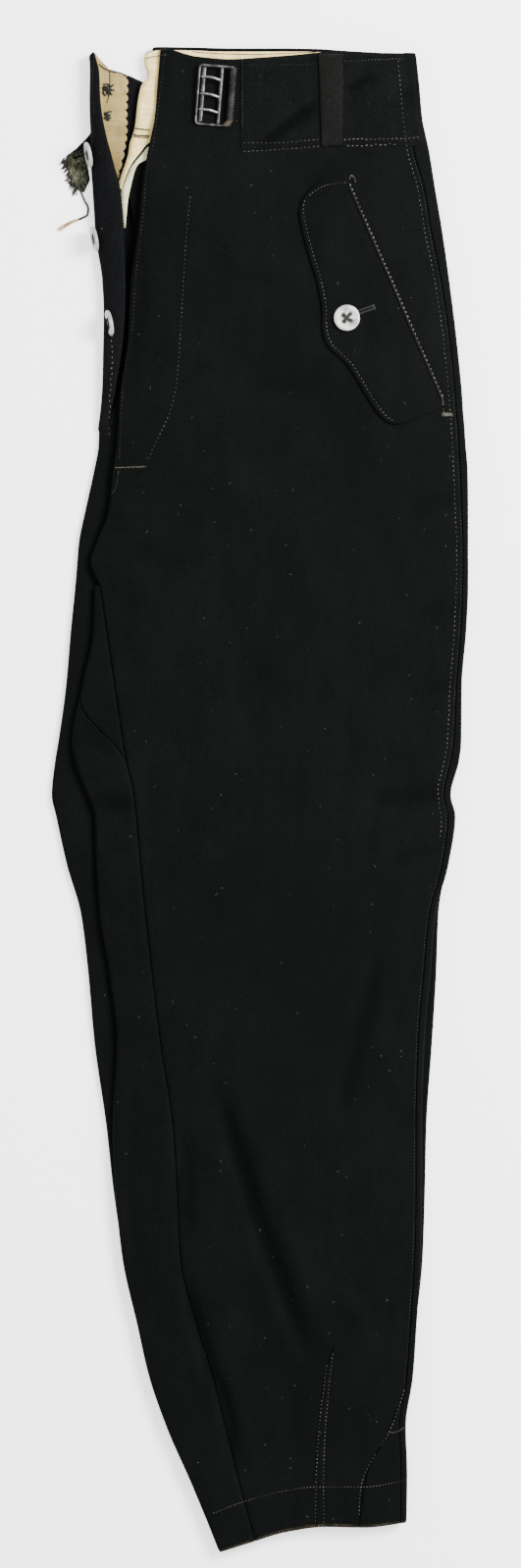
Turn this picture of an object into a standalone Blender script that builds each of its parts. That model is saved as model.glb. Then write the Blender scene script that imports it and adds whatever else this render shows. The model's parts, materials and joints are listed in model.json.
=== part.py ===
"""Black wool military trousers, folded lengthwise and laid flat.

The left leg lies on the right leg, so the left front faces up, with the open fly to the left, the
side seam to the right and the waist towards +Y. Lengths are in millimetres and become metres when a
mesh is made. A place on the garment is told as "across", sideways from the middle, and "down", from
the waist edge towards the hem.
"""
import math

import bmesh
import bpy
from mathutils import Euler, Vector
from mathutils.bvhtree import BVHTree

MM = 0.001

# Driving sizes
HIGHEST_EDGE = 1.0
LOWEST_CORNER = 1058.5
FURTHEST_LEFT = -146.2
FURTHEST_RIGHT = 146.3
CLOTH = 1.8
SEAM = 0.3
LINING = 1.0
LOWER_GAP = 0.6
UPPER_GAP = 1.6
BUTTON_WIDTH = 19.0
BUTTON_THICK = 3.0

# Heights that follow from them
LOWER_TOP = 2 * CLOTH + LOWER_GAP
UPPER_BASE = LOWER_TOP + SEAM
UPPER_INSIDE = UPPER_BASE + CLOTH
UPPER_EDGE = 2 * CLOTH + UPPER_GAP
MIDDLE_DOWN = (LOWEST_CORNER + HIGHEST_EDGE) / 2
MIDDLE_ACROSS = (FURTHEST_LEFT + FURTHEST_RIGHT) / 2

# Sections across the folded garment. "front" is the left edge of a front panel, which is the fly and
# the crotch curve above 380 down and the inseam below it. "loft" is how far the middle of the upper
# leg stands above its edges.
SECTION_COLUMNS = ("down", "lower_left", "lower_front", "upper_left", "upper_front",
                   "front_right", "side_seam", "upper_right", "lower_right", "loft")
SECTION_ROWS = (
    (0, -80, -80, -80, -70, 101, 101, 109.5, 107.5, 1.0),
    (25, -82, -80, -82, -72, 103, 103, 112, 110, 3.0),
    (50, -86, -80, -86, -74, 105, 105, 114, 112, 4.5),
    (75, -92, -80, -92, -79, 108, 108, 119, 117, 6.0),
    (100, -97, -80, -97, -83, 115, 115, 123, 121, 7.0),
    (130, -92, -80, -92, -86, 120, 120, 128, 126, 7.5),
    (165, -88, -80, -88, -91, 127, 127, 133, 131, 8.0),
    (205, -90, -83, -90, -93, 133, 133, 138, 136, 8.0),
    (245, -96, -88, -95, -98.5, 137, 137, 142, 140, 8.0),
    (262.4, -104, -90, -96.5, -99.5, 138.2, 138.2, 143.2, 141, 7.8),
    (264, -113, -90.5, -97, -99.6, 138.5, 138.5, 143.4, 141, 7.8),
    (280, -113.5, -93, -98, -100.5, 139.5, 139.5, 144.5, 142, 7.5),
    (300, -117, -108, -102, -103.5, 140.5, 140.5, 146, 144, 7.5),
    (325, -122.5, -115, -105, -106, 141.5, 141.5, 146.3, 144, 7.0),
    (350, -127.5, -120, -112, -115, 142.5, 142.5, 146.3, 144, 7.0),
    (362, -128.5, -119.6, -114, -119, 142.5, 142.5, 146.3, 144, 6.9),
    (380, -130, -119, -116, -112.5, 142.3, 142.3, 146.3, 144, 6.8),
    (410, -133, -115, -117, -108, 141, 141, 145, 143, 6.5),
    (450, -136.5, -108, -125, -102, 138, 138, 141.8, 140, 6.2),
    (490, -142, -100, -132, -96, 136, 136, 141.4, 139.5, 6.0),
    (502, -144, -99, -130, -94, 134, 134, 140, 138.5, 6.0),
    (527, -146.5, -97, -121, -88.5, 129, 129, 134, 133.5, 6.0),
    (541, -143.5, -96, -116, -87, 132, 132, 137.3, 135.5, 6.0),
    (575, -136, -93, -115, -84, 128, 128, 132.5, 131, 6.0),
    (610, -126, -88, -112.5, -80.5, 119, 119, 123.5, 125.5, 5.8),
    (650, -121, -84, -106, -76, 115, 115, 120, 124, 5.6),
    (700, -116.5, -79, -100.5, -70, 111, 111, 115.8, 121, 5.4),
    (760, -108, -70, -103.5, -61, 109.5, 109.5, 113.8, 117, 5.2),
    (805, -103, -66, -101.5, -58, 109.5, 109.5, 113.8, 116, 5.0),
    (850, -96, -62, -97, -56, 108.5, 108.5, 113, 114.5, 4.6),
    (900, -84, -50, -86, -44, 105.5, 105.5, 110, 109.5, 5.0),
    (935, -76, -40, -78, -33, 102.5, 103, 107.5, 105.5, 4.6),
    (970, -63.5, -27, -65.5, -24, 91, 98, 102.5, 101, 3.8),
    (1005, -45, -18, -47, -14, 74, 99, 103.5, 102, 2.4),
    (1038, -27, -8, -28.5, -3, 69, 98.5, 103, 101.5, 0.6),
)
SECTIONS = [dict(zip(SECTION_COLUMNS, row)) for row in SECTION_ROWS]
ROWS_DOWN = [section["down"] for section in SECTIONS]

# Waist edges and the slanted hem, as (across, further down than the section itself)
FRONT_WAIST = ((-80, 2), (-70, 2), (-45, 8), (-21, 10), (-2, 9), (24, 7), (48, 5), (79, 5.5), (112, 6))
BACK_WAIST = ((-80, 3), (-72, 1), (-60, 1), (-24, 2), (30, 2), (52, 3), (79, 5), (112, 5.5))
RIGHT_WAIST = ((-80, 5), (-60, 3), (0, 4), (112, 6.5))
RIGHT_FRONT_WAIST = ((-80, 24), (-40, 10), (0, 8), (112, 7))
WAIST_FADES_AT = 60.0
HEM = ((-30, 21), (-8, 14), (19, 6), (46, 2.5), (73, 3), (103, -0.5))
HEM_STARTS_AT = 950.0
LOWER_HEM_SHORTER = 2.0

# Largest folds of the upper leg, as soft troughs
CREASE_COLUMNS = ("from_across", "from_down", "to_across", "to_down", "depth", "half_width")
CREASE_ROWS = (
    (68, 530, 136, 527, 2.2, 11),
    (-125, 531, -86, 534, 1.8, 10),
    (-26, 745, 46, 915, 2.2, 14),
    (78, 650, 48, 765, 1.6, 14),
    (-50, 740, -34, 945, 1.5, 12),
    (-96, 350, -52, 372, 1.2, 14),
)
CREASES = [dict(zip(CREASE_COLUMNS, row)) for row in CREASE_ROWS]

# Where the pieces start along the wrapped path of a back panel. 0 is the inseam on top, 1 to 2 the
# roll at the left edge, 2 to 3 the hidden layer, 3 to 4 the roll at the right edge, 5 the side seam.
LEFT_BACK_START = ((0, 2.01), (410, 2.01), (450, 1.5), (490, 0.2), (502, 0.0), (1038, 0.0))
RIGHT_BACK_START = ((0, 2.005), (280, 2.005), (300, 0.0), (1038, 0.0))
LEFT_BACK_KNOTS = (0, 0.35, 0.7, 1, 1.25, 1.5, 1.75, 2, 2.06, 2.4, 2.7, 3, 3.25, 3.5, 3.75, 4, 4.5, 5)
RIGHT_BACK_KNOTS = (0, 0.5, 1, 1.33, 1.67, 2, 2.06, 2.5, 3, 3.33, 3.67, 4, 5)
FORK_KNOTS = (0, 0.3, 0.6, 0.9, 1.2, 1.5, 1.75, 2)
START_BLENDS_UNTIL = 2.06
FORK_GAP = 0.02
FORK_PIECE_FROM = 380
FORK_PIECE_TO = 490

# The button stand of the right front, turned up along its edge
STAND_COLUMNS = ("down", "outer", "ridge", "ridge_height")
STAND_ROWS = (
    (5, -118.5, -116.0, 13.0),
    (25, -119.5, -113.5, 15.0),
    (50, -118.5, -110.5, 15.5),
    (75, -120.0, -106.0, 15.5),
    (100, -118.5, -100.5, 14.5),
    (130, -115.5, -96.5, 13.5),
    (165, -111.0, -94.5, 12.5),
    (205, -110.5, -96.0, 12.0),
    (245, -111.5, -102.0, 9.5),
    (262, -112.5, -106.0, 7.5),
)
STAND = [dict(zip(STAND_COLUMNS, row)) for row in STAND_ROWS]
STAND_FLAT = 8.0
STAND_BULGE = 1.6
STAND_CURL_STEPS = 8
STAND_WAIST = ((-120, 0), (-114, 3), (-106, 12), (-100, 14), (-92, 17), (-80, 23))
STAND_WAIST_FADES_AT = 75.0
FACING_ROWS = 5
FACING_EDGE = ((5, -93), (50, -93.5), (75, -95.5), (100, -98.6), (130, -95))

# Linings, as (down, left edge, right edge)
WAIST_LINING_ROWS = ((2.5, -79, 56), (9, -79.5, 56), (17, -80, 50), (23, -80.5, -46), (40, -83, -50),
                     (56, -86.5, -54), (71, -90, -58))
POCKETING_ROWS = ((71.6, -90.3, -60), (80, -92, -64), (84, -92.8, -84), (96, -95.2, -89),
                  (108, -94.7, -91.5), (118, -93.2, -91.8))

# Strap with its buckle, on the left front
BAND_LEFT = -14.0
BAND_RIGHT = 107.0
BAND_INSIDE_ROLL = 3.0
BAND_BOTTOM = ((-14, 74), (60, 71), (118, 71))
BAND_THICK = 1.5
BAND_BELOW_WAIST = 1.5
LOOP_ROWS = ((9, 41, 58.5), (24, 41.5, 58.3), (40, 42, 58), (56, 42.5, 58), (70, 43, 58))
LOOP_THICK = 1.5
BUCKLE_CENTRE = (-33.8, 35.8)
BUCKLE_TURN = math.radians(-5.5)
BUCKLE_SIZE = (21.4, 43.0)
BUCKLE_THICK = 1.8
BUCKLE_ACROSS_LINES = (0.0, 1.7, 2.5, 5.2, 16.2, 18.4, 21.4)
BUCKLE_END_WIDTH = 2.2
BUCKLE_PRONG_WIDTH = 1.5
BUCKLE_PRONGS = (-11.5, 0.4, 11.4)
WRAP_RADIUS = 2.7
WRAP_GAP = 0.35

# Pocket flap: the sewn edge and how far the free edge stands from it
FLAP_START = (62.0, 94.5)
FLAP_END = (130.0, 250.5)
FLAP_ROWS = ((0, 30), (4, 38.5), (16, 43), (37, 47), (58, 49.5), (77, 54), (88, 59), (97, 57.5),
             (105, 54), (121, 51), (141, 50), (157, 47.5), (168, 43), (173, 32))
FLAP_STEPS = 5
FLAP_THICK = 1.6
FLAP_BUTTON = (61.4, 191.0)

# Tuck sewn down at the ankle, as (down, left edge, right edge)
TUCK_ROWS = ((918, 51.0, 52.8), (931, 46.5, 50.5), (965, 42.0, 48.0), (1003, 39.5, 45.2),
             (1036, 39.6, 44.4))
TUCK_THICK = 1.0

# Fly buttons stand on edge against the button stand, this far down
FLY_BUTTONS_DOWN = (77.0, 136.0, 195.0)
FLY_BUTTON_LEAN = math.radians(18)
FLY_BUTTON_CLEAR = 1.5
FLY_BUTTON_TRIED_AT = 0.7

# Torn end of the right strap, lying on the surface
STRAP_DOWN = (59.0, 75.0)
STRAP_TIP = ((-131.5, 75.0), (-130.0, 70.5))
STRAP_LIFT = 0.1
STRAP_THICK = 1.4
FRINGE_ROOT_LEFT = (-133.0, 75.4)
FRINGE_ROOT_RIGHT = (-122.0, 75.4)
FRINGE_ROOT_DEPTH = 2.2
FRINGE_THICK = 1.2
FRINGE_LIFT = 0.15
FRINGE_STRANDS = 14
STRAND_HALF_WIDTH = 0.34
STRAND_HEIGHTS = (0.2, 0.85)
STRAND_LENGTHS = (14, 20, 17, 26, 31, 24, 34, 29, 33, 22, 30, 25, 19)
STRAND_LEANS = (-0.34, -0.03)
STRAND_SWAY = 1.2
LOOSE_STRAND = ((-122, 88), (-122.6, 101), (-121, 112), (-121.8, 119), (-129, 125.5), (-141.5, 130))

# How pieces lie on each other, and how many steps a front is cut into
OVERLAY_GAP = 0.4
FRONT_STEPS = 14
RIGHT_FRONT_STEPS = 6
ANKLE_PIECE_FROM = 935
ANKLE_PIECE_STEPS = 3
ABOVE_ALL = 60.0
LEFT_OF_ALL = -200.0
STAND_SPAN = (-125, -85)

# The hidden layers inside the upper leg stay clear of its edges and its mouths
FOLDED_FROM = 25
FOLDED_TO = 1005
FOLDED_INSET = 6.0
FOLDED_CLEARANCE = 0.7
FORK_FROM = 520


def linear(pairs, place):
    """Reads a short table of (place, value) pairs, straight between its rows."""
    if place <= pairs[0][0]:
        return pairs[0][1]
    for (start, low), (end, high) in zip(pairs, pairs[1:]):
        if place <= end:
            return low + (high - low) * (place - start) / (end - start)
    return pairs[-1][1]


def section(column, down):
    return linear([(row["down"], row[column]) for row in SECTIONS], down)


def world(across, down, height):
    return Vector(((across - MIDDLE_ACROSS) * MM, (MIDDLE_DOWN - down) * MM, height * MM))


def slanted(down, across, waist_edge, hem_shorter=0.0):
    """Moves a section's point down where the waist edge dips or the hem slants."""
    if down < WAIST_FADES_AT:
        return down + linear(waist_edge, across) * (1 - down / WAIST_FADES_AT)
    if down > HEM_STARTS_AT:
        fade = ((down - HEM_STARTS_AT) / (ROWS_DOWN[-1] - HEM_STARTS_AT)) ** 2
        return down + (linear(HEM, across) - hem_shorter) * fade
    return down


def crease_depth(across, down):
    depth = 0.0
    for crease in CREASES:
        start = Vector((crease["from_across"], crease["from_down"]))
        run = Vector((crease["to_across"], crease["to_down"])) - start
        place = Vector((across, down))
        along = min(1.0, max(0.0, (place - start).dot(run) / run.length_squared))
        distance = (place - start - run * along).length
        depth += crease["depth"] * math.exp(-(distance / crease["half_width"]) ** 2)
    return depth


def upper_top(across, down):
    """Height of the outside of the upper leg: low at its rolled edges and full between them."""
    left = min(section("upper_left", down), section("upper_front", down))
    right = section("upper_right", down)
    place = min(1.0, max(0.0, (across - left) / (right - left)))
    full = 1 - abs(2 * place - 1) ** 4
    rise = section("loft", down) * full - crease_depth(across, down) * min(1.0, 3 * full)
    return UPPER_BASE + UPPER_EDGE + max(0.0, rise)


def make_material(name, colour, roughness, metallic=0.0):
    material = bpy.data.materials.new(name)
    material.use_nodes = True
    shader = material.node_tree.nodes["Principled BSDF"]
    shader.inputs["Base Color"].default_value = (*colour, 1)
    shader.inputs["Roughness"].default_value = roughness
    shader.inputs["Metallic"].default_value = metallic
    material.diffuse_color = (*colour, 1)
    return material


def add_object(name, points, faces, material, smooth_under=40.0):
    mesh = bpy.data.meshes.new(name)
    mesh.from_pydata(points, [], faces)
    form = bmesh.new()
    form.from_mesh(mesh)
    bmesh.ops.recalc_face_normals(form, faces=form.faces)
    if form.calc_volume(signed=True) < 0:
        bmesh.ops.reverse_faces(form, faces=form.faces)
    form.to_mesh(mesh)
    form.free()
    mesh.materials.append(material)
    mesh.shade_smooth()
    mesh.set_sharp_from_angle(angle=math.radians(smooth_under))
    made = bpy.data.objects.new(name, mesh)
    bpy.context.collection.objects.link(made)
    made.parent = garment
    return made


def wall(name, sections, material):
    """A closed wall through sections. Each section is a list of (outer, inner) pairs of points."""
    count = len(sections[0])
    points = [point for pairs in sections for pair in pairs for point in pair]

    def outer(row, column):
        return 2 * (row * count + column)

    def inner(row, column):
        return outer(row, column) + 1

    faces = []
    for row in range(len(sections) - 1):
        for column in range(count - 1):
            for side in (outer, inner):
                faces.append((side(row, column), side(row, column + 1),
                              side(row + 1, column + 1), side(row + 1, column)))
        for column in (0, count - 1):
            faces.append((outer(row, column), inner(row, column),
                          inner(row + 1, column), outer(row + 1, column)))
    for row in (0, len(sections) - 1):
        for column in range(count - 1):
            faces.append((outer(row, column), outer(row, column + 1),
                          inner(row, column + 1), inner(row, column)))
    return add_object(name, points, faces, material)


def wrapped_pair(knot, left, front, right, seam, gap, top):
    """Outer and inner point of a back panel at a place along its wrapped path, from a base of 0."""
    reach = (2 * CLOTH + gap) / 2
    if knot <= 1:
        across = (front - SEAM / 2) * (1 - knot) + (left + reach) * knot
        return (across, top(across)), (across, top(across) - CLOTH)
    if knot >= 4:
        across = (right - reach) * (5 - knot) + (seam + SEAM / 2) * (knot - 4)
        return (across, top(across)), (across, top(across) - CLOTH)
    if 2 <= knot <= 3:
        across = (left + reach) * (3 - knot) + (right - reach) * (knot - 2)
        return (across, 0.0), (across, CLOTH)
    centre = left + reach if knot < 2 else right - reach
    angle = math.pi * (knot - 0.5 if knot < 2 else knot - 1.5)
    half = top(centre) / 2
    outer = (centre + reach * math.cos(angle), half + half * math.sin(angle))
    inner = (centre + (reach - CLOTH) * math.cos(angle), half + (half - CLOTH) * math.sin(angle))
    return outer, inner


def upper_pair(down, knot):
    """A place on the left leg's back, which wraps round the edges of the upper leg."""
    left, front, right, seam = (section(column, down)
                                for column in ("upper_left", "upper_front", "upper_right", "side_seam"))
    return [world(across, slanted(down, across, BACK_WAIST), UPPER_BASE + height)
            for across, height in wrapped_pair(knot, left, front, right, seam, UPPER_GAP,
                                               lambda across: upper_top(across, down) - UPPER_BASE)]


def lower_seam(down):
    return section("lower_right", down) - (section("upper_right", down) - section("side_seam", down))


def lower_pair(down, knot):
    """A place on the right leg's back, the same path turned over, with its lips on the surface."""
    left, front, right = (section(column, down) for column in ("lower_left", "lower_front", "lower_right"))
    return [world(across, slanted(down, across, RIGHT_WAIST, LOWER_HEM_SHORTER), LOWER_TOP - height)
            for across, height in wrapped_pair(knot, left, front, right, lower_seam(down), LOWER_GAP,
                                               lambda across: LOWER_TOP)]


def blended_knot(knot, start):
    """Slides the first knots of a path to where the panel starts at this section."""
    if knot >= START_BLENDS_UNTIL:
        return knot
    return start + (START_BLENDS_UNTIL - start) * knot / START_BLENDS_UNTIL


def make_backs(wool):
    left_back = [[upper_pair(down, blended_knot(knot, linear(LEFT_BACK_START, down)))
                  for knot in LEFT_BACK_KNOTS] for down in ROWS_DOWN]
    right_back = [[lower_pair(down, blended_knot(knot, linear(RIGHT_BACK_START, down)))
                   for knot in RIGHT_BACK_KNOTS] for down in ROWS_DOWN]
    fork_rows = [down for down in ROWS_DOWN if FORK_PIECE_FROM <= down <= FORK_PIECE_TO]
    fork = [[upper_pair(down, knot / FORK_KNOTS[-1] * (linear(LEFT_BACK_START, down) - FORK_GAP))
             for knot in FORK_KNOTS] for down in fork_rows]
    return (wall("left_back", left_back, wool), wall("right_back", right_back, wool),
            wall("left_back_fork_piece", fork, wool))


def spread(left, right, steps):
    return [left + (right - left) * step / steps for step in range(steps + 1)]


def panel_pairs(down, columns):
    pairs = []
    for across in columns:
        place = slanted(down, across, FRONT_WAIST)
        top = upper_top(across, down)
        pairs.append((world(across, place, top), world(across, place, top - CLOTH)))
    return pairs


def front_columns(down):
    left = section("upper_front", down) + SEAM / 2
    return spread(left, section("front_right", down) - SEAM / 2, FRONT_STEPS)


def make_left_front(wool):
    rows = [panel_pairs(down, front_columns(down)) for down in ROWS_DOWN]
    return wall("left_front", rows, wool)


def make_ankle_piece(wool):
    rows = [panel_pairs(down, spread(section("front_right", down) + SEAM / 2,
                                     section("side_seam", down) - SEAM / 2, ANKLE_PIECE_STEPS))
            for down in ROWS_DOWN if down > ANKLE_PIECE_FROM]
    return wall("ankle_piece", rows, wool)


def make_right_front(wool):
    rows = []
    for down in ROWS_DOWN:
        left = section("lower_front", down) + SEAM / 2
        right = lower_seam(down) - SEAM / 2
        pairs = []
        for across in spread(left, right, RIGHT_FRONT_STEPS):
            place = slanted(down, across, RIGHT_FRONT_WAIST, LOWER_HEM_SHORTER)
            pairs.append((world(across, place, 0.0), world(across, place, CLOTH)))
        rows.append(pairs)
    return wall("right_front", rows, wool)


def make_folded_layers(wool):
    """The hidden layers inside the upper leg, as one rounded solid that gives the garment its loft."""
    rows = []
    for down in ROWS_DOWN:
        if not FOLDED_FROM <= down <= FOLDED_TO:
            continue
        columns = front_columns(down)
        right = section("upper_right", down) - FOLDED_INSET
        if down < FORK_FROM:
            places = spread(columns[2], columns[3], 4) + spread(columns[3], columns[4], 2)[1:]
            places += columns[5:-1] + [right]
        else:
            left = section("upper_left", down) + FOLDED_INSET
            places = [left, (left + columns[0]) / 2] + columns[:-1] + [right]
        tops = [(across, upper_top(across, down)) for across in sorted([*places, *columns])]
        pairs = []
        for across in places:
            place = slanted(down, across, FRONT_WAIST)
            top = linear(tops, across) - CLOTH - FOLDED_CLEARANCE
            pairs.append((world(across, place, top), world(across, place, UPPER_INSIDE + SEAM)))
        rows.append(pairs)
    return wall("folded_layers", rows, wool)


def bezier(points, place):
    rest = 1 - place
    weights = (rest ** 3, 3 * rest * rest * place, 3 * rest * place * place, place ** 3)
    return Vector((sum(w * p[0] for w, p in zip(weights, points)),
                   sum(w * p[1] for w, p in zip(weights, points))))


def stand_path(row, flat_from):
    """Middle of the button stand's cloth: flat on the surface, then curling up to its ridge."""
    half = CLOTH / 2
    outer, ridge, height = row["outer"], row["ridge"], row["ridge_height"] - half
    foot = outer + min(STAND_FLAT, 0.6 * (flat_from - outer))
    curl = ((foot, half), (outer - STAND_BULGE, half), (outer - STAND_BULGE, height), (ridge, height))
    flat = [Vector((flat_from, half)), Vector(((flat_from + foot) / 2, half))]
    return flat + [bezier(curl, step / STAND_CURL_STEPS) for step in range(STAND_CURL_STEPS + 1)]


def path_side(path, index):
    """Unit vector to the inner side of the stand's cloth, square to its path."""
    before = path[max(0, index - 1)]
    after = path[min(len(path) - 1, index + 1)]
    run = (after - before).normalized()
    return Vector((run.y, -run.x))


def stand_slanted(down, across):
    return down + linear(STAND_WAIST, across) * max(0.0, 1 - down / STAND_WAIST_FADES_AT)


def make_button_stand(wool, cotton):
    stand_rows, facing_rows = [], []
    for number, row in enumerate(STAND):
        down = row["down"]
        path = stand_path(row, section("lower_front", down) - SEAM / 2)
        pairs = []
        for index, place in enumerate(path):
            side = path_side(path, index) * CLOTH / 2
            actual = stand_slanted(down, place.x)
            outer, inner = place - side, place + side
            pairs.append((world(outer.x, actual, max(0.0, outer.y)), world(inner.x, actual, inner.y)))
        stand_rows.append(pairs)
        if number >= FACING_ROWS:
            continue
        facing_path = stand_path(row, linear(FACING_EDGE, down))
        pairs = []
        for index, place in enumerate(facing_path):
            side = path_side(facing_path, index)
            actual = stand_slanted(down, place.x) + 0.5
            low = place + side * (CLOTH / 2 + SEAM)
            high = place + side * (CLOTH / 2 + SEAM + LINING)
            pairs.append((world(low.x, actual, low.y), world(high.x, actual, high.y)))
        facing_rows.append(pairs)
    return wall("button_stand", stand_rows, wool), wall("button_stand_facing", facing_rows, cotton)


def make_flat_lining(name, rows, steps, cotton):
    """A lining on the inner face of the left back, from (down, left, right) rows."""
    sections = []
    for down, left, right in rows:
        sections.append([(world(across, down, UPPER_INSIDE + SEAM + LINING),
                          world(across, down, UPPER_INSIDE + SEAM))
                         for across in spread(left, right, steps)])
    return wall(name, sections, cotton)


class Ground:
    """The upper faces of some pieces, so that what lies on them is made from their own points."""

    def __init__(self, pieces):
        self.trees = []
        for piece in pieces:
            mesh = piece.data
            places = [vertex.co.copy() for vertex in mesh.vertices]
            self.trees.append(BVHTree.FromPolygons(places, [face.vertices[:] for face in mesh.polygons]))

    def height(self, across, down):
        start = world(across, down, ABOVE_ALL)
        heights = []
        for tree in self.trees:
            hit = tree.ray_cast(start, Vector((0, 0, -1)))[0]
            if hit is not None:
                heights.append(hit.z / MM)
        return max(heights) if heights else upper_top(across, down)

    def top(self, down):
        """The highest point of a section."""
        places = [world(across, down, ABOVE_ALL) for across in range(*STAND_SPAN)]
        hits = [tree.ray_cast(place, Vector((0, 0, -1)))[0] for tree in self.trees for place in places]
        return max(hit.z / MM for hit in hits if hit is not None)

    def left_face(self, down, height):
        """How far across the first piece stands at a height, met from the left."""
        start = world(LEFT_OF_ALL, down, height)
        hits = [tree.ray_cast(start, Vector((1, 0, 0)))[0] for tree in self.trees]
        return min(hit.x / MM + MIDDLE_ACROSS for hit in hits if hit is not None)


def overlay(name, rows, ground, thick, material, gap=OVERLAY_GAP):
    """A piece that lies on others, through rows of (across, down) points."""
    sections = []
    for row in rows:
        pairs = []
        for across, down in row:
            height = ground.height(across, down) + gap
            pairs.append((world(across, down, height + thick), world(across, down, height)))
        sections.append(pairs)
    return wall(name, sections, material)


def make_waist_strap(ground, wool):
    rows = []
    for share in spread(0.0, 1.0, 11):
        row = []
        for depth in spread(0.0, 1.0, 5):
            straight = BAND_LEFT + (BAND_RIGHT - BAND_LEFT) * share
            top = linear(FRONT_WAIST, straight) + BAND_BELOW_WAIST
            down = top + (linear(BAND_BOTTOM, straight) - top) * depth
            right = section("upper_right", down) - BAND_INSIDE_ROLL
            row.append((BAND_LEFT + (right - BAND_LEFT) * share, down))
        rows.append(row)
    return overlay("waist_strap", rows, ground, BAND_THICK, wool)


def make_strips(name, table, steps, ground, thick, material):
    """A strip from (down, left, right) rows."""
    rows = [[(across, down) for across in spread(left, right, steps)] for down, left, right in table]
    return overlay(name, rows, ground, thick, material)


def make_pocket_flap(ground, wool):
    start, end = Vector(FLAP_START), Vector(FLAP_END)
    along = (end - start).normalized()
    out = Vector((-along.y, along.x))
    rows = []
    for distance, width in FLAP_ROWS:
        root = start + along * distance
        rows.append([tuple(root + out * step) for step in spread(0.0, width, FLAP_STEPS)])
    return overlay("pocket_flap", rows, ground, FLAP_THICK, wool)


def turned(name, profile, steps, material):
    """A round solid from (radius, height) points, closed at the axis."""
    points = [(0.0, 0.0, profile[0][1] * MM)]
    for radius, height in profile:
        for step in range(steps):
            angle = 2 * math.pi * step / steps
            points.append((radius * MM * math.cos(angle), radius * MM * math.sin(angle), height * MM))
    points.append((0.0, 0.0, profile[-1][1] * MM))
    faces = []
    for step in range(steps):
        after = (step + 1) % steps
        faces.append((0, 1 + after, 1 + step))
        for ring in range(len(profile) - 1):
            base = 1 + ring * steps
            faces.append((base + step, base + after, base + steps + after, base + steps + step))
        last = 1 + (len(profile) - 1) * steps
        faces.append((last + step, last + after, len(points) - 1))
    return add_object(name, points, faces, material, smooth_under=50.0)


def make_button(name, horn):
    radius = BUTTON_WIDTH / 2
    profile = ((radius * 0.55, 0.0), (radius * 0.93, BUTTON_THICK * 0.3), (radius, BUTTON_THICK * 0.55),
               (radius * 0.93, BUTTON_THICK * 0.95), (radius * 0.78, BUTTON_THICK),
               (radius * 0.62, BUTTON_THICK * 0.72))
    return turned(name, profile, 18, horn)


def make_buttons(flap_ground, stand_ground, horn):
    button = make_button("flap_button", horn)
    across, down = FLAP_BUTTON
    radius = BUTTON_WIDTH * 0.3
    heights = [flap_ground.height(across + radius * x, down + radius * y)
               for x in (-1, 0, 1) for y in (-1, 0, 1)]
    button.location = world(across, down, max(heights) + OVERLAY_GAP)
    radius = BUTTON_WIDTH / 2
    for number, down in enumerate(FLY_BUTTONS_DOWN, 1):
        button = make_button(f"fly_button_{number}", horn)
        height = radius * math.cos(FLY_BUTTON_LEAN) + FLY_BUTTON_CLEAR
        seats = []
        for up in spread(-radius, radius, 10):
            for side in (-FLY_BUTTON_TRIED_AT * radius, 0.0, FLY_BUTTON_TRIED_AT * radius):
                try_height = height + up * math.cos(FLY_BUTTON_LEAN)
                if math.hypot(up, side) > radius or try_height > stand_ground.top(down + side) - 1:
                    continue
                face = stand_ground.left_face(down + side, try_height)
                seats.append(face - up * math.sin(FLY_BUTTON_LEAN))
        button.rotation_euler = Euler((0, -(math.pi / 2 - FLY_BUTTON_LEAN), 0))
        button.location = world(min(seats) - OVERLAY_GAP, down, height)


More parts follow.
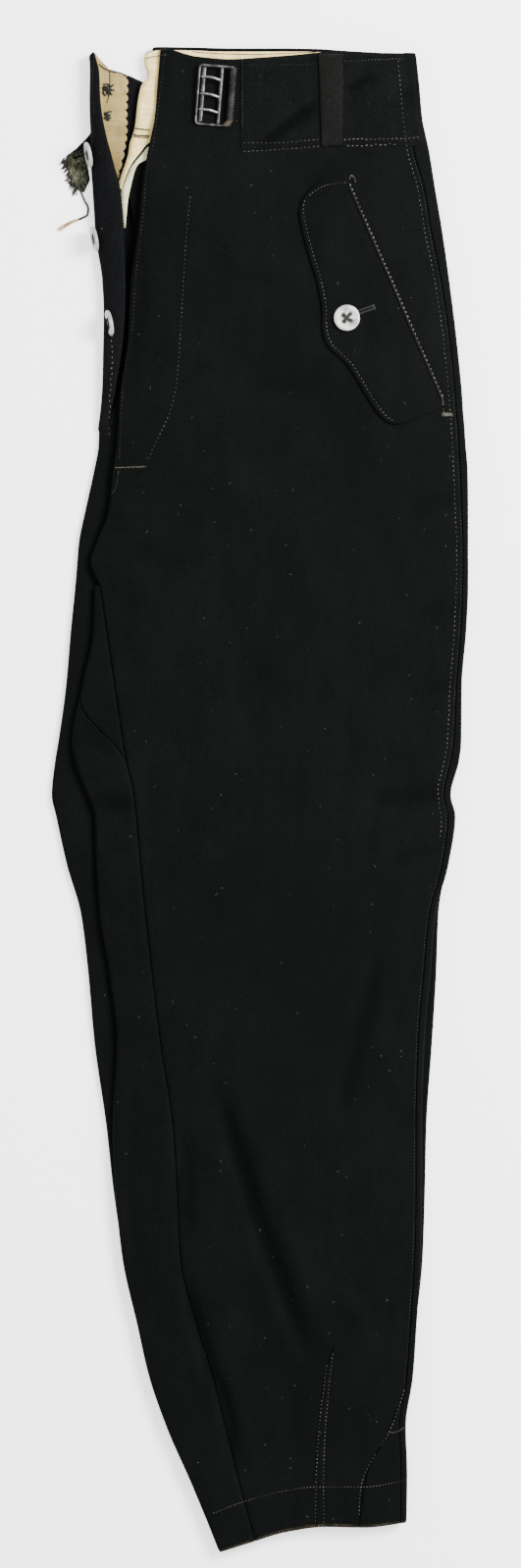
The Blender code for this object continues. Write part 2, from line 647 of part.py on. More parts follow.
def make_buckle(ground, steel, cord_wrap):
    """A lattice of bars: outer wire, prong bar and inner bar, joined by the ends and the prongs."""
    width, tall = BUCKLE_SIZE
    half = tall / 2
    down_lines = [-half, -half + BUCKLE_END_WIDTH]
    for prong in BUCKLE_PRONGS:
        down_lines += [prong - BUCKLE_PRONG_WIDTH / 2, prong + BUCKLE_PRONG_WIDTH / 2]
    down_lines += [half - BUCKLE_END_WIDTH, half]
    last_row = len(down_lines) - 2

    def is_metal(column, row):
        if row in (0, last_row):
            return True
        prong_row = row % 2 == 0
        return column in (0, 2, 4) or (column == 3 and prong_row)

    points, faces, used = [], [], {}

    def corner(column, row, level):
        key = (column, row, level)
        if key not in used:
            used[key] = len(points)
            points.append(((BUCKLE_ACROSS_LINES[column] - width / 2) * MM, -down_lines[row] * MM,
                           level * BUCKLE_THICK * MM))
        return used[key]

    metal = {(column, row) for column in range(len(BUCKLE_ACROSS_LINES) - 1)
             for row in range(last_row + 1) if is_metal(column, row)}
    for column, row in metal:
        for level in (0, 1):
            faces.append([corner(column + c, row + r, level) for c, r in ((0, 0), (1, 0), (1, 1), (0, 1))])
        sides = (((-1, 0), (0, 0), (0, 1)), ((1, 0), (1, 0), (1, 1)),
                 ((0, -1), (0, 0), (1, 0)), ((0, 1), (0, 1), (1, 1)))
        for (step_c, step_r), first, second in sides:
            if (column + step_c, row + step_r) in metal:
                continue
            faces.append([corner(column + first[0], row + first[1], 0),
                          corner(column + second[0], row + second[1], 0),
                          corner(column + second[0], row + second[1], 1),
                          corner(column + first[0], row + first[1], 1)])
    buckle = add_object("buckle", points, faces, steel, smooth_under=30.0)
    across, down = BUCKLE_CENTRE
    heights = [ground.height(across + x, down + y) for x in spread(-width / 2, width / 2 + WRAP_RADIUS, 5)
               for y in spread(-half, half, 4)]
    seat = max(heights) + OVERLAY_GAP
    buckle.location = world(across, down, seat)
    buckle.rotation_euler = Euler((0, 0, BUCKLE_TURN))
    wrap_profile = [(WRAP_RADIUS * 0.7, -half + 0.6), (WRAP_RADIUS, -half + 2.4),
                    (WRAP_RADIUS, half - 2.4), (WRAP_RADIUS * 0.7, half - 0.6)]
    wrap = turned("buckle_loop", wrap_profile, 10, cord_wrap)
    offset = width / 2 + WRAP_RADIUS + WRAP_GAP
    place = Vector((math.cos(BUCKLE_TURN) * offset, math.sin(BUCKLE_TURN) * offset, WRAP_RADIUS))
    wrap.rotation_euler = Euler((math.pi / 2, 0, BUCKLE_TURN))
    wrap.location = buckle.location + place * MM


def prism(name, outline, low, high, material):
    """A flat piece with an outline of (across, down) points."""
    count = len(outline)
    points = [world(x, y, low) for x, y in outline] + [world(x, y, high) for x, y in outline]
    faces = [tuple(range(count)), tuple(range(count, 2 * count))]
    faces += [(i, (i + 1) % count, count + (i + 1) % count, count + i) for i in range(count)]
    return add_object(name, points, faces, material)


def make_right_strap(stand_ground, wool):
    top = STRAP_LIFT + STRAP_THICK
    rooted = [(stand_ground.left_face(down, top) - OVERLAY_GAP, down) for down in STRAP_DOWN]
    return prism("right_strap", (*rooted, *STRAP_TIP), STRAP_LIFT, top, wool)


def fringe_route(number):
    """Middle line of one strand. The strands fan down and left, and the last is a loose thread."""
    if number == FRINGE_STRANDS - 1:
        return [Vector(point) for point in LOOSE_STRAND]
    share = number / (FRINGE_STRANDS - 1)
    root = Vector(FRINGE_ROOT_LEFT).lerp(Vector(FRINGE_ROOT_RIGHT), share)
    lean = STRAND_LEANS[0] + (STRAND_LEANS[1] - STRAND_LEANS[0]) * share
    route = []
    for reach in (6, *range(12, STRAND_LENGTHS[number], 6), STRAND_LENGTHS[number]):
        sway = STRAND_SWAY * math.sin(reach / 5)
        route.append(root + Vector((lean * reach + sway, FRINGE_ROOT_DEPTH + reach)))
    return route


def make_fringe(wool):
    """A narrow strip whose lower side grows into strands, as one closed body."""
    points, faces = [], []
    left, right = Vector(FRINGE_ROOT_LEFT), Vector(FRINGE_ROOT_RIGHT)
    cells = 2 * FRINGE_STRANDS + 1
    low, high = FRINGE_LIFT, FRINGE_LIFT + FRINGE_THICK

    def add(across, down, height):
        points.append(world(across, down, height))
        return len(points) - 1

    grid = []
    for cell in range(cells + 1):
        x = left.x + (right.x - left.x) * cell / cells
        grid.append({(side, level): add(x, left.y + side * FRINGE_ROOT_DEPTH, height)
                     for side in (0, 1) for level, height in ((0, low), (1, high))})
    for cell in range(cells):
        here, there = grid[cell], grid[cell + 1]
        for level in (0, 1):
            faces.append((here[0, level], there[0, level], there[1, level], here[1, level]))
        faces.append((here[0, 0], there[0, 0], there[0, 1], here[0, 1]))
        ring = (here[1, 0], there[1, 0], there[1, 1], here[1, 1])
        if cell % 2 == 0:
            faces.append(ring)
            continue
        route = fringe_route(cell // 2)
        for number, place in enumerate(route):
            run = place - route[number - 1] if number else route[1] - route[0]
            taper = 1 - 0.4 * number / len(route)
            side = Vector((run.y, -run.x)).normalized() * STRAND_HALF_WIDTH * taper
            if side.x < 0:
                side = -side
            left_side, right_side = place - side, place + side
            bottom, top = STRAND_HEIGHTS
            following = (add(*left_side, bottom), add(*right_side, bottom),
                         add(*right_side, top), add(*left_side, top))
            faces += [(ring[i], ring[(i + 1) % 4], following[(i + 1) % 4], following[i]) for i in range(4)]
            ring = following
        faces.append(ring)
    for end in (grid[0], grid[-1]):
        faces.append((end[0, 0], end[1, 0], end[1, 1], end[0, 1]))
    return add_object("strap_fringe", points, faces, wool)


for old in list(bpy.data.objects):
    bpy.data.objects.remove(old, do_unlink=True)

garment = bpy.data.objects.new("trousers", None)
bpy.context.collection.objects.link(garment)

black_wool = make_material("black_wool", (0.008, 0.009, 0.0085), 0.95)
strap_wool = make_material("strap_wool", (0.011, 0.011, 0.011), 0.9)
loop_wool = make_material("loop_wool", (0.018, 0.018, 0.017), 0.9)
cream_cotton = make_material("cream_cotton", (0.72, 0.65, 0.53), 0.9)
drab_cotton = make_material("drab_cotton", (0.52, 0.5, 0.38), 0.9)
dark_steel = make_material("dark_steel", (0.22, 0.21, 0.2), 0.4, 1.0)
wrap_thread = make_material("wrap_thread", (0.03, 0.03, 0.026), 0.8)
pale_horn = make_material("pale_horn", (0.56, 0.56, 0.53), 0.5)

left_back, right_back, fork_piece = make_backs(black_wool)
left_front = make_left_front(black_wool)
ankle_piece = make_ankle_piece(black_wool)
make_right_front(black_wool)
make_folded_layers(black_wool)
stand, facing = make_button_stand(black_wool, cream_cotton)
make_flat_lining("waist_lining", WAIST_LINING_ROWS, 5, cream_cotton)
make_flat_lining("pocketing", POCKETING_ROWS, 2, drab_cotton)

top_ground = Ground([left_front, left_back, ankle_piece])
waist_strap = make_waist_strap(top_ground, strap_wool)
make_strips("belt_loop", LOOP_ROWS, 2, Ground([waist_strap]), LOOP_THICK, loop_wool)
pocket_flap = make_pocket_flap(top_ground, black_wool)
make_strips("ankle_tuck", TUCK_ROWS, 1, top_ground, TUCK_THICK, black_wool)
make_buckle(top_ground, dark_steel, wrap_thread)
make_buttons(Ground([pocket_flap]), Ground([stand]), pale_horn)
make_right_strap(Ground([stand]), strap_wool)
make_fringe(strap_wool)
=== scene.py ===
# Black wool military trousers, folded lengthwise and laid flat
# Lengths are in millimetres: across from the middle, down from the waist, height over the floor
import json
import math

import bpy
import numpy as np
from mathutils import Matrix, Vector
from mathutils.bvhtree import BVHTree

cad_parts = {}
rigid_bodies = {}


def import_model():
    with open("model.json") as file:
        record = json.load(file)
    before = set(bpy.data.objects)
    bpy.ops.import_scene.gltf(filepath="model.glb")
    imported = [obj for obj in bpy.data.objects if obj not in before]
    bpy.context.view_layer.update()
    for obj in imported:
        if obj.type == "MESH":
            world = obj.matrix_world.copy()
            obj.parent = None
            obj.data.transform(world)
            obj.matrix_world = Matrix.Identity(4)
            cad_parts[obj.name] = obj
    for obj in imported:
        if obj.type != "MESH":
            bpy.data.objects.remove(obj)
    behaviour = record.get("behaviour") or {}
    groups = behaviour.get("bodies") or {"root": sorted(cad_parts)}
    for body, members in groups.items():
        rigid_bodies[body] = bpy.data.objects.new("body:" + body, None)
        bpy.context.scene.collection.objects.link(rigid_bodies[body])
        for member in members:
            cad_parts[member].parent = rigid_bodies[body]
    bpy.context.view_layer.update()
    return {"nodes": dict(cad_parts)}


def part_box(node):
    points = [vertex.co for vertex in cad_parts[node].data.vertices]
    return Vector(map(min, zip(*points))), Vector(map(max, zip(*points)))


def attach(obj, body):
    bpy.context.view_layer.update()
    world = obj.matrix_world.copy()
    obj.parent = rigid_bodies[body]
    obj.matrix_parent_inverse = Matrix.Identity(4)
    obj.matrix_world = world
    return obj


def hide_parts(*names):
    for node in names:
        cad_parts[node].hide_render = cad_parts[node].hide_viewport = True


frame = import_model()
objects = bpy.data.objects

mm = 0.001
cloth = 1.8  # thickness of the wool
seamGap = 0.3
lowerGap = 0.6
upperGap = 1.6
lowerTop = 2 * cloth + lowerGap
upperBase = lowerTop + seamGap
upperInside = upperBase + cloth
upperEdge = 2 * cloth + upperGap
middleDown = 529.75
middleAcross = 0.05
photoScale = 0.69  # millimetres in one pixel of the photograph
photoOrigin = (265, 47)  # the pixel where across and down are both zero
photoHeight = 1598

# Sections across the folded garment
sectionColumns = ("down", "lowerLeft", "lowerFront", "upperLeft", "upperFront",
                  "frontRight", "sideSeam", "upperRight", "lowerRight", "loft")
sectionRows = np.array((
    (0, -80, -80, -80, -70, 101, 101, 109.5, 107.5, 1.0),
    (25, -82, -80, -82, -72, 103, 103, 112, 110, 3.0),
    (50, -86, -80, -86, -74, 105, 105, 114, 112, 4.5),
    (75, -92, -80, -92, -79, 108, 108, 119, 117, 6.0),
    (100, -97, -80, -97, -83, 115, 115, 123, 121, 7.0),
    (130, -92, -80, -92, -86, 120, 120, 128, 126, 7.5),
    (165, -88, -80, -88, -91, 127, 127, 133, 131, 8.0),
    (205, -90, -83, -90, -93, 133, 133, 138, 136, 8.0),
    (245, -101, -88, -95, -98.5, 137, 137, 142, 140, 8.0),
    (262.4, -112, -90, -96.5, -99.5, 138.2, 138.2, 143.2, 141, 7.8),
    (264, -113, -90.5, -97, -99.6, 138.5, 138.5, 143.4, 141, 7.8),
    (280, -113.5, -93, -98, -100.5, 139.5, 139.5, 144.5, 142, 7.5),
    (300, -117, -108, -102, -103.5, 140.5, 140.5, 146, 144, 7.5),
    (325, -122.5, -115, -105, -106, 141.5, 141.5, 146.3, 144, 7.0),
    (350, -127.5, -120, -112, -115, 142.5, 142.5, 146.3, 144, 7.0),
    (362, -128.5, -119.6, -114, -119, 142.5, 142.5, 146.3, 144, 6.9),
    (380, -130, -119, -116, -112.5, 142.3, 142.3, 146.3, 144, 6.8),
    (410, -133, -115, -117, -108, 141, 141, 145, 143, 6.5),
    (450, -136.5, -108, -125, -102, 138, 138, 141.8, 140, 6.2),
    (490, -142, -100, -132, -96, 136, 136, 141.4, 139.5, 6.0),
    (502, -144, -99, -130, -94, 134, 134, 140, 138.5, 6.0),
    (527, -146.5, -97, -121, -88.5, 129, 129, 134, 133.5, 6.0),
    (541, -143.5, -96, -116, -87, 132, 132, 137.3, 135.5, 6.0),
    (575, -136, -93, -115, -84, 128, 128, 132.5, 131, 6.0),
    (610, -126, -88, -112.5, -80.5, 119, 119, 123.5, 125.5, 5.8),
    (650, -121, -84, -106, -76, 115, 115, 120, 124, 5.6),
    (700, -116.5, -79, -100.5, -70, 111, 111, 115.8, 121, 5.4),
    (760, -108, -70, -103.5, -61, 109.5, 109.5, 113.8, 117, 5.2),
    (805, -103, -66, -101.5, -58, 109.5, 109.5, 113.8, 116, 5.0),
    (850, -96, -62, -97, -56, 108.5, 108.5, 113, 114.5, 4.6),
    (900, -84, -50, -86, -44, 105.5, 105.5, 110, 109.5, 5.0),
    (935, -76, -40, -78, -33, 102.5, 103, 107.5, 105.5, 4.6),
    (970, -63.5, -27, -65.5, -24, 91, 98, 102.5, 101, 3.8),
    (1005, -45, -18, -47, -14, 74, 99, 103.5, 102, 2.4),
    (1038, -27, -8, -28.5, -3, 69, 98.5, 103, 101.5, 0.6),
))

# Waist edges and the slanted hem, as (across, further down than the section itself)
frontWaist = ((-80, 2), (-70, 2), (-45, 8), (-21, 10), (-2, 9), (24, 7), (48, 5), (79, 5.5), (112, 6))
backWaist = ((-80, 3), (-72, 1), (-60, 1), (-24, 2), (30, 2), (52, 3), (79, 5), (112, 5.5))
rightWaist = ((-80, 5), (-60, 3), (0, 4), (112, 6.5))
hem = ((-30, 21), (-8, 14), (19, 6), (46, 2.5), (73, 3), (103, -0.5))
waistReach = 60  # the waist's slant fades out this far down
hemStart = 950  # and the hem's slant begins here
hemRow = 1038

# Folds: pixels of the photograph, depth and half width in millimetres. A ridge has a negative depth
folds = (
    (((368, 819), (410, 812), (464, 810)), 1.7, 9),
    (((84, 815), (110, 819), (140, 822)), 1.9, 9),
    (((212, 1075), (231, 1133), (248, 1190), (262, 1238), (284, 1294), (305, 1352), (328, 1402)), 3.4, 6.5),
    (((390, 950), (384, 985), (376, 1024), (365, 1066), (350, 1124), (338, 1155)), 1.8, 7),
    (((186, 1285), (198, 1335), (213, 1383), (231, 1432), (243, 1505)), 2.2, 5),
    (((188, 1140), (192, 1200), (190, 1270)), 1.6, 7),
    (((126, 553), (160, 568), (196, 588)), 1.3, 12),
    (((240, 392), (290, 392), (335, 401)), 1.0, 11),
    (((262, 156), (270, 148), (285, 135), (305, 120), (326, 104)), 3.0, 4.5),
    (((348, 97), (366, 86), (388, 75)), 2.2, 4.5),
    (((300, 196), (325, 180), (352, 166)), 0.9, 7),
    (((252, 232), (275, 215), (300, 204)), 0.8, 8),
    (((392, 116), (412, 98), (436, 88)), 0.9, 5),
    (((408, 528), (445, 512), (474, 505)), 1.0, 9),
    (((416, 640), (450, 622), (476, 618)), 1.1, 9),
    (((410, 712), (440, 700), (470, 698)), 0.9, 8),
    (((392, 886), (425, 868), (458, 862)), 1.1, 8),
    (((98, 598), (120, 606), (150, 628)), 1.0, 8),
    (((76, 742), (96, 752), (122, 772)), 1.0, 7),
    (((96, 850), (112, 858), (136, 872)), 0.9, 8),
    (((100, 905), (118, 930), (142, 946)), 0.7, 9),
    (((205, 600), (214, 680), (232, 770)), -0.8, 16),
    (((300, 540), (318, 640), (330, 720)), -0.7, 20),
    (((262, 640), (262, 720), (275, 800)), 0.7, 15),
    (((345, 1310), (357, 1332), (372, 1344)), -1.5, 6),
    (((388, 1180), (389, 1230), (384, 1275)), -0.7, 8),
    (((215, 1290), (232, 1340), (250, 1390)), -0.8, 9),
    (((262, 1395), (276, 1440), (280, 1490)), -0.6, 9),
    (((300, 1400), (303, 1450), (303, 1500)), 0.7, 7),
    (((172, 410), (196, 380), (220, 370)), 0.7, 8),
    (((128, 420), (136, 340), (148, 262)), 0.9, 5),
    (((232, 300), (262, 285), (296, 290)), 0.6, 11),
    (((400, 1380), (380, 1400), (366, 1432)), 0.7, 6),
    (((200, 1130), (206, 1160), (214, 1186)), -0.7, 6),
    (((124, 1180), (136, 1260), (160, 1350)), 0.7, 8),
)
swells = ((210, 0.3, 1.1, 0.32), (137, 1.9, 0.2, 0.26), (92, -0.7, 2.0, 0.2), (61, 1.2, 4.0, 0.15),
          (43, 0.1, 0.7, 0.1), (33, 2.4, 2.9, 0.07))  # wave length, turn, phase and height


def smoothTable(places, values):  # a curve through a short table, which never overshoots its rows
    places = np.asarray(places, float)
    values = np.asarray(values, float)
    step = np.diff(places)
    slope = np.diff(values) / step
    tangent = np.zeros(len(places))
    tangent[0] = slope[0]
    tangent[-1] = slope[-1]
    before = 2 * step[1:] + step[:-1]
    after = step[1:] + 2 * step[:-1]
    same = slope[:-1] * slope[1:] > 0
    safe = np.where(same, before / np.where(same, slope[:-1], 1) + after / np.where(same, slope[1:], 1), 1)
    tangent[1:-1] = np.where(same, (before + after) / safe, 0)

    def read(place):
        place = np.clip(place, places[0], places[-1])
        row = np.clip(np.searchsorted(places, place, side="right") - 1, 0, len(places) - 2)
        t = (place - places[row]) / step[row]
        return (values[row] * (2 * t**3 - 3 * t**2 + 1) + tangent[row] * step[row] * (t**3 - 2 * t**2 + t)
                + values[row + 1] * (3 * t**2 - 2 * t**3) + tangent[row + 1] * step[row] * (t**3 - t**2))
    return read


edge = {name: smoothTable(sectionRows[:, 0], sectionRows[:, column])
        for column, name in enumerate(sectionColumns) if column}


def reader(pairs):
    return smoothTable([pair[0] for pair in pairs], [pair[1] for pair in pairs])


def fromPhoto(points):  # pixels to (across, down)
    return (np.asarray(points, float) - photoOrigin) * photoScale


def world(across, down, height):
    across, down, height = np.broadcast_arrays(across, down, height)
    return np.stack([(across - middleAcross) * mm, (middleDown - down) * mm, height * mm], axis=-1)


def easeStep(low, high, value):
    t = np.clip((value - low) / (high - low), 0, 1)
    return t * t * (3 - 2 * t)


def slanted(down, across, waist, shorter=0.0):
    atWaist = reader(waist)(across) * np.clip(1 - down / waistReach, 0, 1)
    fade = np.clip((down - hemStart) / (hemRow - hemStart), 0, 1) ** 2
    return down + atWaist + (reader(hem)(across) - shorter) * fade


def foldHeight(across, down):
    total = np.zeros(np.broadcast(across, down).shape)
    for points, depth, width in folds:
        line = fromPhoto(points)
        nearest = np.full(total.shape, 1e9)
        along = np.zeros(total.shape)
        gone = 0.0
        for start, end in zip(line, line[1:]):
            run = end - start
            length = math.hypot(*run)
            t = np.clip(((across - start[0]) * run[0] + (down - start[1]) * run[1]) / length**2, 0, 1)
            distance = np.hypot(across - start[0] - run[0] * t, down - start[1] - run[1] * t)
            closer = distance < nearest
            nearest = np.where(closer, distance, nearest)
            along = np.where(closer, gone + t * length, along)
            gone += length
        fade = easeStep(0, 0.3 * gone, np.minimum(along, gone - along) + 0.02 * gone)
        trough = np.exp(-(nearest / width) ** 2)
        banks = np.exp(-((nearest - 2 * width) / (1.1 * width)) ** 2)
        total += depth * fade * (0.32 * banks - trough)
    return total


def swell(across, down):
    total = np.zeros(np.broadcast(across, down).shape)
    for length, turn, phase, height in swells:
        wave = (across * math.cos(turn) + down * math.sin(turn)) * 2 * math.pi / length + phase
        total += height * np.sin(wave + 0.8 * np.sin(down / length * 1.7 + phase))
    return total


def creaseShadeDepth(across, down):  # painted shade in the folds: 0 on open cloth to 1 in the middle of a deep fold
    return np.clip((-foldHeight(across, down) - 0.25) / 2.4, 0, 1)


# Stores the fold depth on the points as painted crease shade, which darkens the wool's colour
def paintCreaseShade(piece):
    places = np.array([point.co[:2] for point in piece.data.vertices]) / mm
    depth = creaseShadeDepth(places[:, 0] + middleAcross, middleDown - places[:, 1])
    piece.data.attributes.new("creaseShade", "FLOAT", "POINT").data.foreach_set("value", depth.astype(np.float32))


seamLook = {"inseam": 0.7, "side": 0.2, "bulge": 0.2}  # depths of the grooves, bulge of the sewn edges
rimLook = {"bulge": 0.45, "inward": 0.14, "back": 0.6}  # how a free edge is rounded


def seamGroove(across, down):  # the cloth is drawn down along the inseam and the side seam
    inseam = easeStep(385, 410, down) * np.exp(-((across - edge["upperFront"](down)) / 1.6) ** 2)
    side = np.exp(-((across - edge["sideSeam"](down)) / 1.3) ** 2)
    pucker = 0.75 + 0.25 * np.sin(down / 2.3 + 2 * np.sin(down / 17))
    return (seamLook["inseam"] * inseam + seamLook["side"] * side) * pucker


def upperTop(across, down):
    left = np.minimum(edge["upperLeft"](down), edge["upperFront"](down))
    right = edge["upperRight"](down)
    share = np.clip((across - left) / (right - left), 0, 1)
    full = 1 - np.abs(2 * share - 1) ** 4
    folded = foldHeight(across, down) + swell(across, down)
    rise = edge["loft"](down) * full + folded * np.minimum(1, 3 * full)
    return upperBase + upperEdge + np.maximum(0, rise) - seamGroove(across, down)


def lowerTopAt(across, down):  # the lip of the lower leg lifts a little where nothing lies on it
    left = edge["lowerLeft"](down)
    right = np.maximum(edge["upperLeft"](down), left + 8)
    share = np.clip((across - left) / (right - left), 0, 1)
    wave = 0.8 + 0.3 * np.sin(down / 31) + 0.2 * np.sin(down / 13 + 1)
    return lowerTop + 1.3 * np.sin(np.pi * share) * wave * easeStep(290, 330, down)


# Makes one mesh object from a wall's two faces, with a rounded rim all round
def wall(name, outer, inner, finish, nodes=(), bulge=rimLook["bulge"]):
    rows, columns = outer.shape[:2]
    index = np.arange(rows * columns).reshape(rows, columns)
    ring = np.concatenate([index[0, :], index[1:, -1], index[-1, -2::-1], index[-2:0:-1, 0]])
    nearRow = np.clip(np.arange(rows), 1, rows - 2)
    nearColumn = np.clip(np.arange(columns), 1, columns - 2)
    inward = index[np.ix_(nearRow, nearColumn)].ravel()[ring]
    top = outer.reshape(-1, 3).copy()
    low = inner.reshape(-1, 3).copy()
    out = (top[ring] + low[ring]) / 2 - (top[inward] + low[inward]) / 2
    out /= np.maximum(np.linalg.norm(out, axis=1), 1e-9)[:, None]
    rim = (top[ring] + low[ring]) / 2
    thick = np.linalg.norm(top[ring] - low[ring], axis=1)[:, None]
    toMiddle = (low[ring] - top[ring]) * rimLook["inward"]
    top[ring] += toMiddle - out * thick * bulge * rimLook["back"]
    low[ring] -= toMiddle + out * thick * bulge * rimLook["back"]
    count = rows * columns
    a, b, c, d = index[:-1, :-1], index[:-1, 1:], index[1:, 1:], index[1:, :-1]
    upper = np.stack([a, b, c, d], -1).reshape(-1, 4)
    lower = np.stack([d, c, b, a], -1).reshape(-1, 4) + count
    following = np.roll(ring, -1)
    number = np.arange(len(ring)) + 2 * count
    onward = np.roll(number, -1)
    sides = [np.stack([following, ring, number, onward], -1),
             np.stack([onward, number, ring + count, following + count], -1)]
    faces = np.concatenate([upper, lower, *sides])
    return addMesh(name, np.concatenate([top, low, rim]), faces, finish, nodes)


def addMesh(name, points, faces, finish, nodes=()):
    points = np.asarray(points, float)
    faces = np.asarray(faces)
    volume = 0.0
    for second in range(1, faces.shape[1] - 1):
        a, b, c = points[faces[:, 0]], points[faces[:, second]], points[faces[:, second + 1]]
        volume += (a * np.cross(b, c)).sum()
    if volume < 0:
        faces = faces[:, ::-1]
    mesh = bpy.data.meshes.new(name)
    mesh.from_pydata(points.tolist(), [], faces.tolist())
    return placeObject(name, mesh, finish, nodes)


def placeObject(name, mesh, finish, nodes):
    mesh.materials.append(finish)
    mesh.shade_smooth()
    made = objects.new(name, mesh)
    bpy.context.collection.objects.link(made)
    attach(made, "root")
    if nodes:
        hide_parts(*nodes)
    return made


# Shader maths on a wrapped socket
class Value:
    def __init__(self, shade, socket):
        self.shade = shade
        self.socket = socket

    def math(self, kind, first, second):
        return self.shade.node("ShaderNodeMath", {"operation": kind}, {0: first, 1: second})

    def __add__(self, other):
        return self.math("ADD", self, other)

    def __sub__(self, other):
        return self.math("SUBTRACT", self, other)

    def __rsub__(self, other):
        return self.math("SUBTRACT", other, self)

    def __mul__(self, other):
        return self.math("MULTIPLY", self, other)

    __radd__ = __add__
    __rmul__ = __mul__

    def between(self, low, high):  # 0 under low, 1 over high, smooth between
        return self.shade.node("ShaderNodeMapRange", {"interpolation_type": "SMOOTHSTEP"},
                               {"Value": self, "From Min": low, "From Max": high})


class Shade:
    def __init__(self, name, slot, **sockets):
        self.material = bpy.data.materials.new(name)
        self.material.use_nodes = True
        self.nodes = self.material.node_tree.nodes
        self.links = self.material.node_tree.links
        self.shader = self.nodes["Principled BSDF"]
        for socket, value in sockets.items():
            self.shader.inputs[socket.replace("_", " ")].default_value = value
        self.place = self.node("ShaderNodeTexCoord", output="Object")

    def feed(self, socket, value):
        if isinstance(value, Value):
            self.links.new(value.socket, socket)
        elif socket.type == "RGBA" and len(value) == 3:
            socket.default_value = (*value, 1)
        else:
            socket.default_value = value

    def node(self, kind, settings=None, values=None, output=0):
        made = self.nodes.new(kind)
        for key, value in (settings or {}).items():
            setattr(made, key, value)
        for key, value in (values or {}).items():
            self.feed(made.inputs[key], value)
        return Value(self, made.outputs[output])

    def stretched(self, across, down, height):
        return self.node("ShaderNodeVectorMath", {"operation": "MULTIPLY"},
                         {0: self.place, 1: (across, down, height)})

    def noise(self, scale, detail=3.0, rough=0.55, where=None):
        return self.node("ShaderNodeTexNoise", None, {"Vector": where or self.place, "Scale": scale,
                                                      "Detail": detail, "Roughness": rough})

    def mix(self, factor, first, second):
        return self.node("ShaderNodeMix", {"data_type": "RGBA"}, {0: factor, 6: first, 7: second}, output=2)

    def specks(self, scale, size, share):  # small dots in some cells
        settings = {"feature": "F1"}
        values = {"Vector": self.place, "Scale": scale}
        distance = self.node("ShaderNodeTexVoronoi", settings, values, "Distance")
        cell = self.node("ShaderNodeTexVoronoi", settings, values, "Color")
        chosen = self.node("ShaderNodeSeparateColor", None, {"Color": cell})
        return (1 - distance.between(size * 0.6, size)) * chosen.between(1 - share, 1 - share + 0.01)

    def set(self, socket, value):
        self.feed(self.shader.inputs[socket], value)

    def bump(self, height, distance, strength=1.0):
        self.set("Normal", self.node("ShaderNodeBump", None, {"Height": height, "Distance": distance,
                                                              "Strength": strength}))


# Finishes
woolLook = {"shine": 0.02, "sheen": 0.006, "nap": 0.00022, "dust": (0.03, 0.029, 0.025)}
woolColours = {  # the slot, then the dark, the light and the tint
    "blackWool": ("black_wool", (0.0018, 0.0022, 0.0020), (0.0039, 0.0045, 0.0042), (0.0021, 0.0025, 0.0024)),
    "strapWool": ("strap_wool", (0.0016, 0.0019, 0.0018), (0.0046, 0.0053, 0.005), (0.0028, 0.003, 0.0031)),
    "loopWool": ("loop_wool", (0.0026, 0.0026, 0.0025), (0.0078, 0.0079, 0.0075), (0.0048, 0.0047, 0.0044)),
    # Painted light: a lighter, bluer copy of the black wool, used on the turned-up button stand
    "litStandWool": ("black_wool", (0.0022, 0.0023, 0.0025), (0.0054, 0.0056, 0.0062), (0.0030, 0.0031, 0.0036)),
}


def makeWool(name, slot, dark, light, tint):
    shade = Shade(name, slot, Roughness=0.82, Specular_IOR_Level=woolLook["shine"],
                  Sheen_Weight=woolLook["sheen"], Sheen_Roughness=0.45)
    nap = shade.noise(620, 5, 0.68)
    fibres = shade.noise(1500, 3, 0.6, shade.stretched(1.0, 0.35, 1.0))
    patches = shade.noise(22, 4, 0.6)
    broad = shade.noise(5, 2, 0.5)
    streaks = shade.noise(90, 3, 0.6, shade.stretched(1.0, 0.25, 1.0))
    tone = nap * 0.4 + fibres * 0.25 + patches * 0.2 + streaks * 0.15
    colour = shade.mix(tone.between(0.36, 0.66), dark, light)
    colour = shade.mix(broad.between(0.48, 0.68) * 0.5, colour, tint)
    # Painted shade: the colour darkens toward near black in the troughs of the folds
    creaseShade = shade.node("ShaderNodeAttribute", {"attribute_name": "creaseShade"}, output="Fac")
    colour = shade.mix(creaseShade * 0.5, colour, (0.0002, 0.0003, 0.0003))
    dust = shade.specks(330, 0.3, 0.012) * 0.5 + shade.specks(260, 0.1, 0.008) * 0.7
    colour = shade.mix(dust, colour, woolLook["dust"])
    shade.set("Base Color", colour)
    shade.set("Roughness", nap.between(0.3, 0.7) * 0.12 + 0.8)
    twill = shade.node("ShaderNodeTexWave", {"wave_type": "BANDS", "bands_direction": "DIAGONAL"},
                       {"Vector": shade.stretched(1.0, 0.6, 1.0), "Scale": 420, "Distortion": 1.4,
                        "Detail": 2, "Detail Scale": 2})
    shade.bump(nap * 0.7 + fibres * 0.5 + twill * 0.16, woolLook["nap"], 0.8)
    return shade.material


wool, strapWool, loopWool, litStandWool = [makeWool(name, *values) for name, values in woolColours.items()]

cottonLook = {"weave": 0.00016, "brownEnd": 0.425, "brownStart": 0.485}  # object heights in metres
cottonColours = {  # the base, the pale and the stain, then how stained it is and how far it turns darker and browner towards its lower end
    "creamCotton": ((0.66, 0.49, 0.19), (0.86, 0.70, 0.34), (0.50, 0.34, 0.12), 0.25, 0.0),
    "facingCotton": ((0.25, 0.185, 0.065), (0.33, 0.26, 0.11), (0.13, 0.08, 0.028), 0.5, 0.9),
    "drabCotton": ((0.56, 0.56, 0.34), (0.72, 0.71, 0.48), (0.36, 0.36, 0.25), 0.7, 0.0),
}


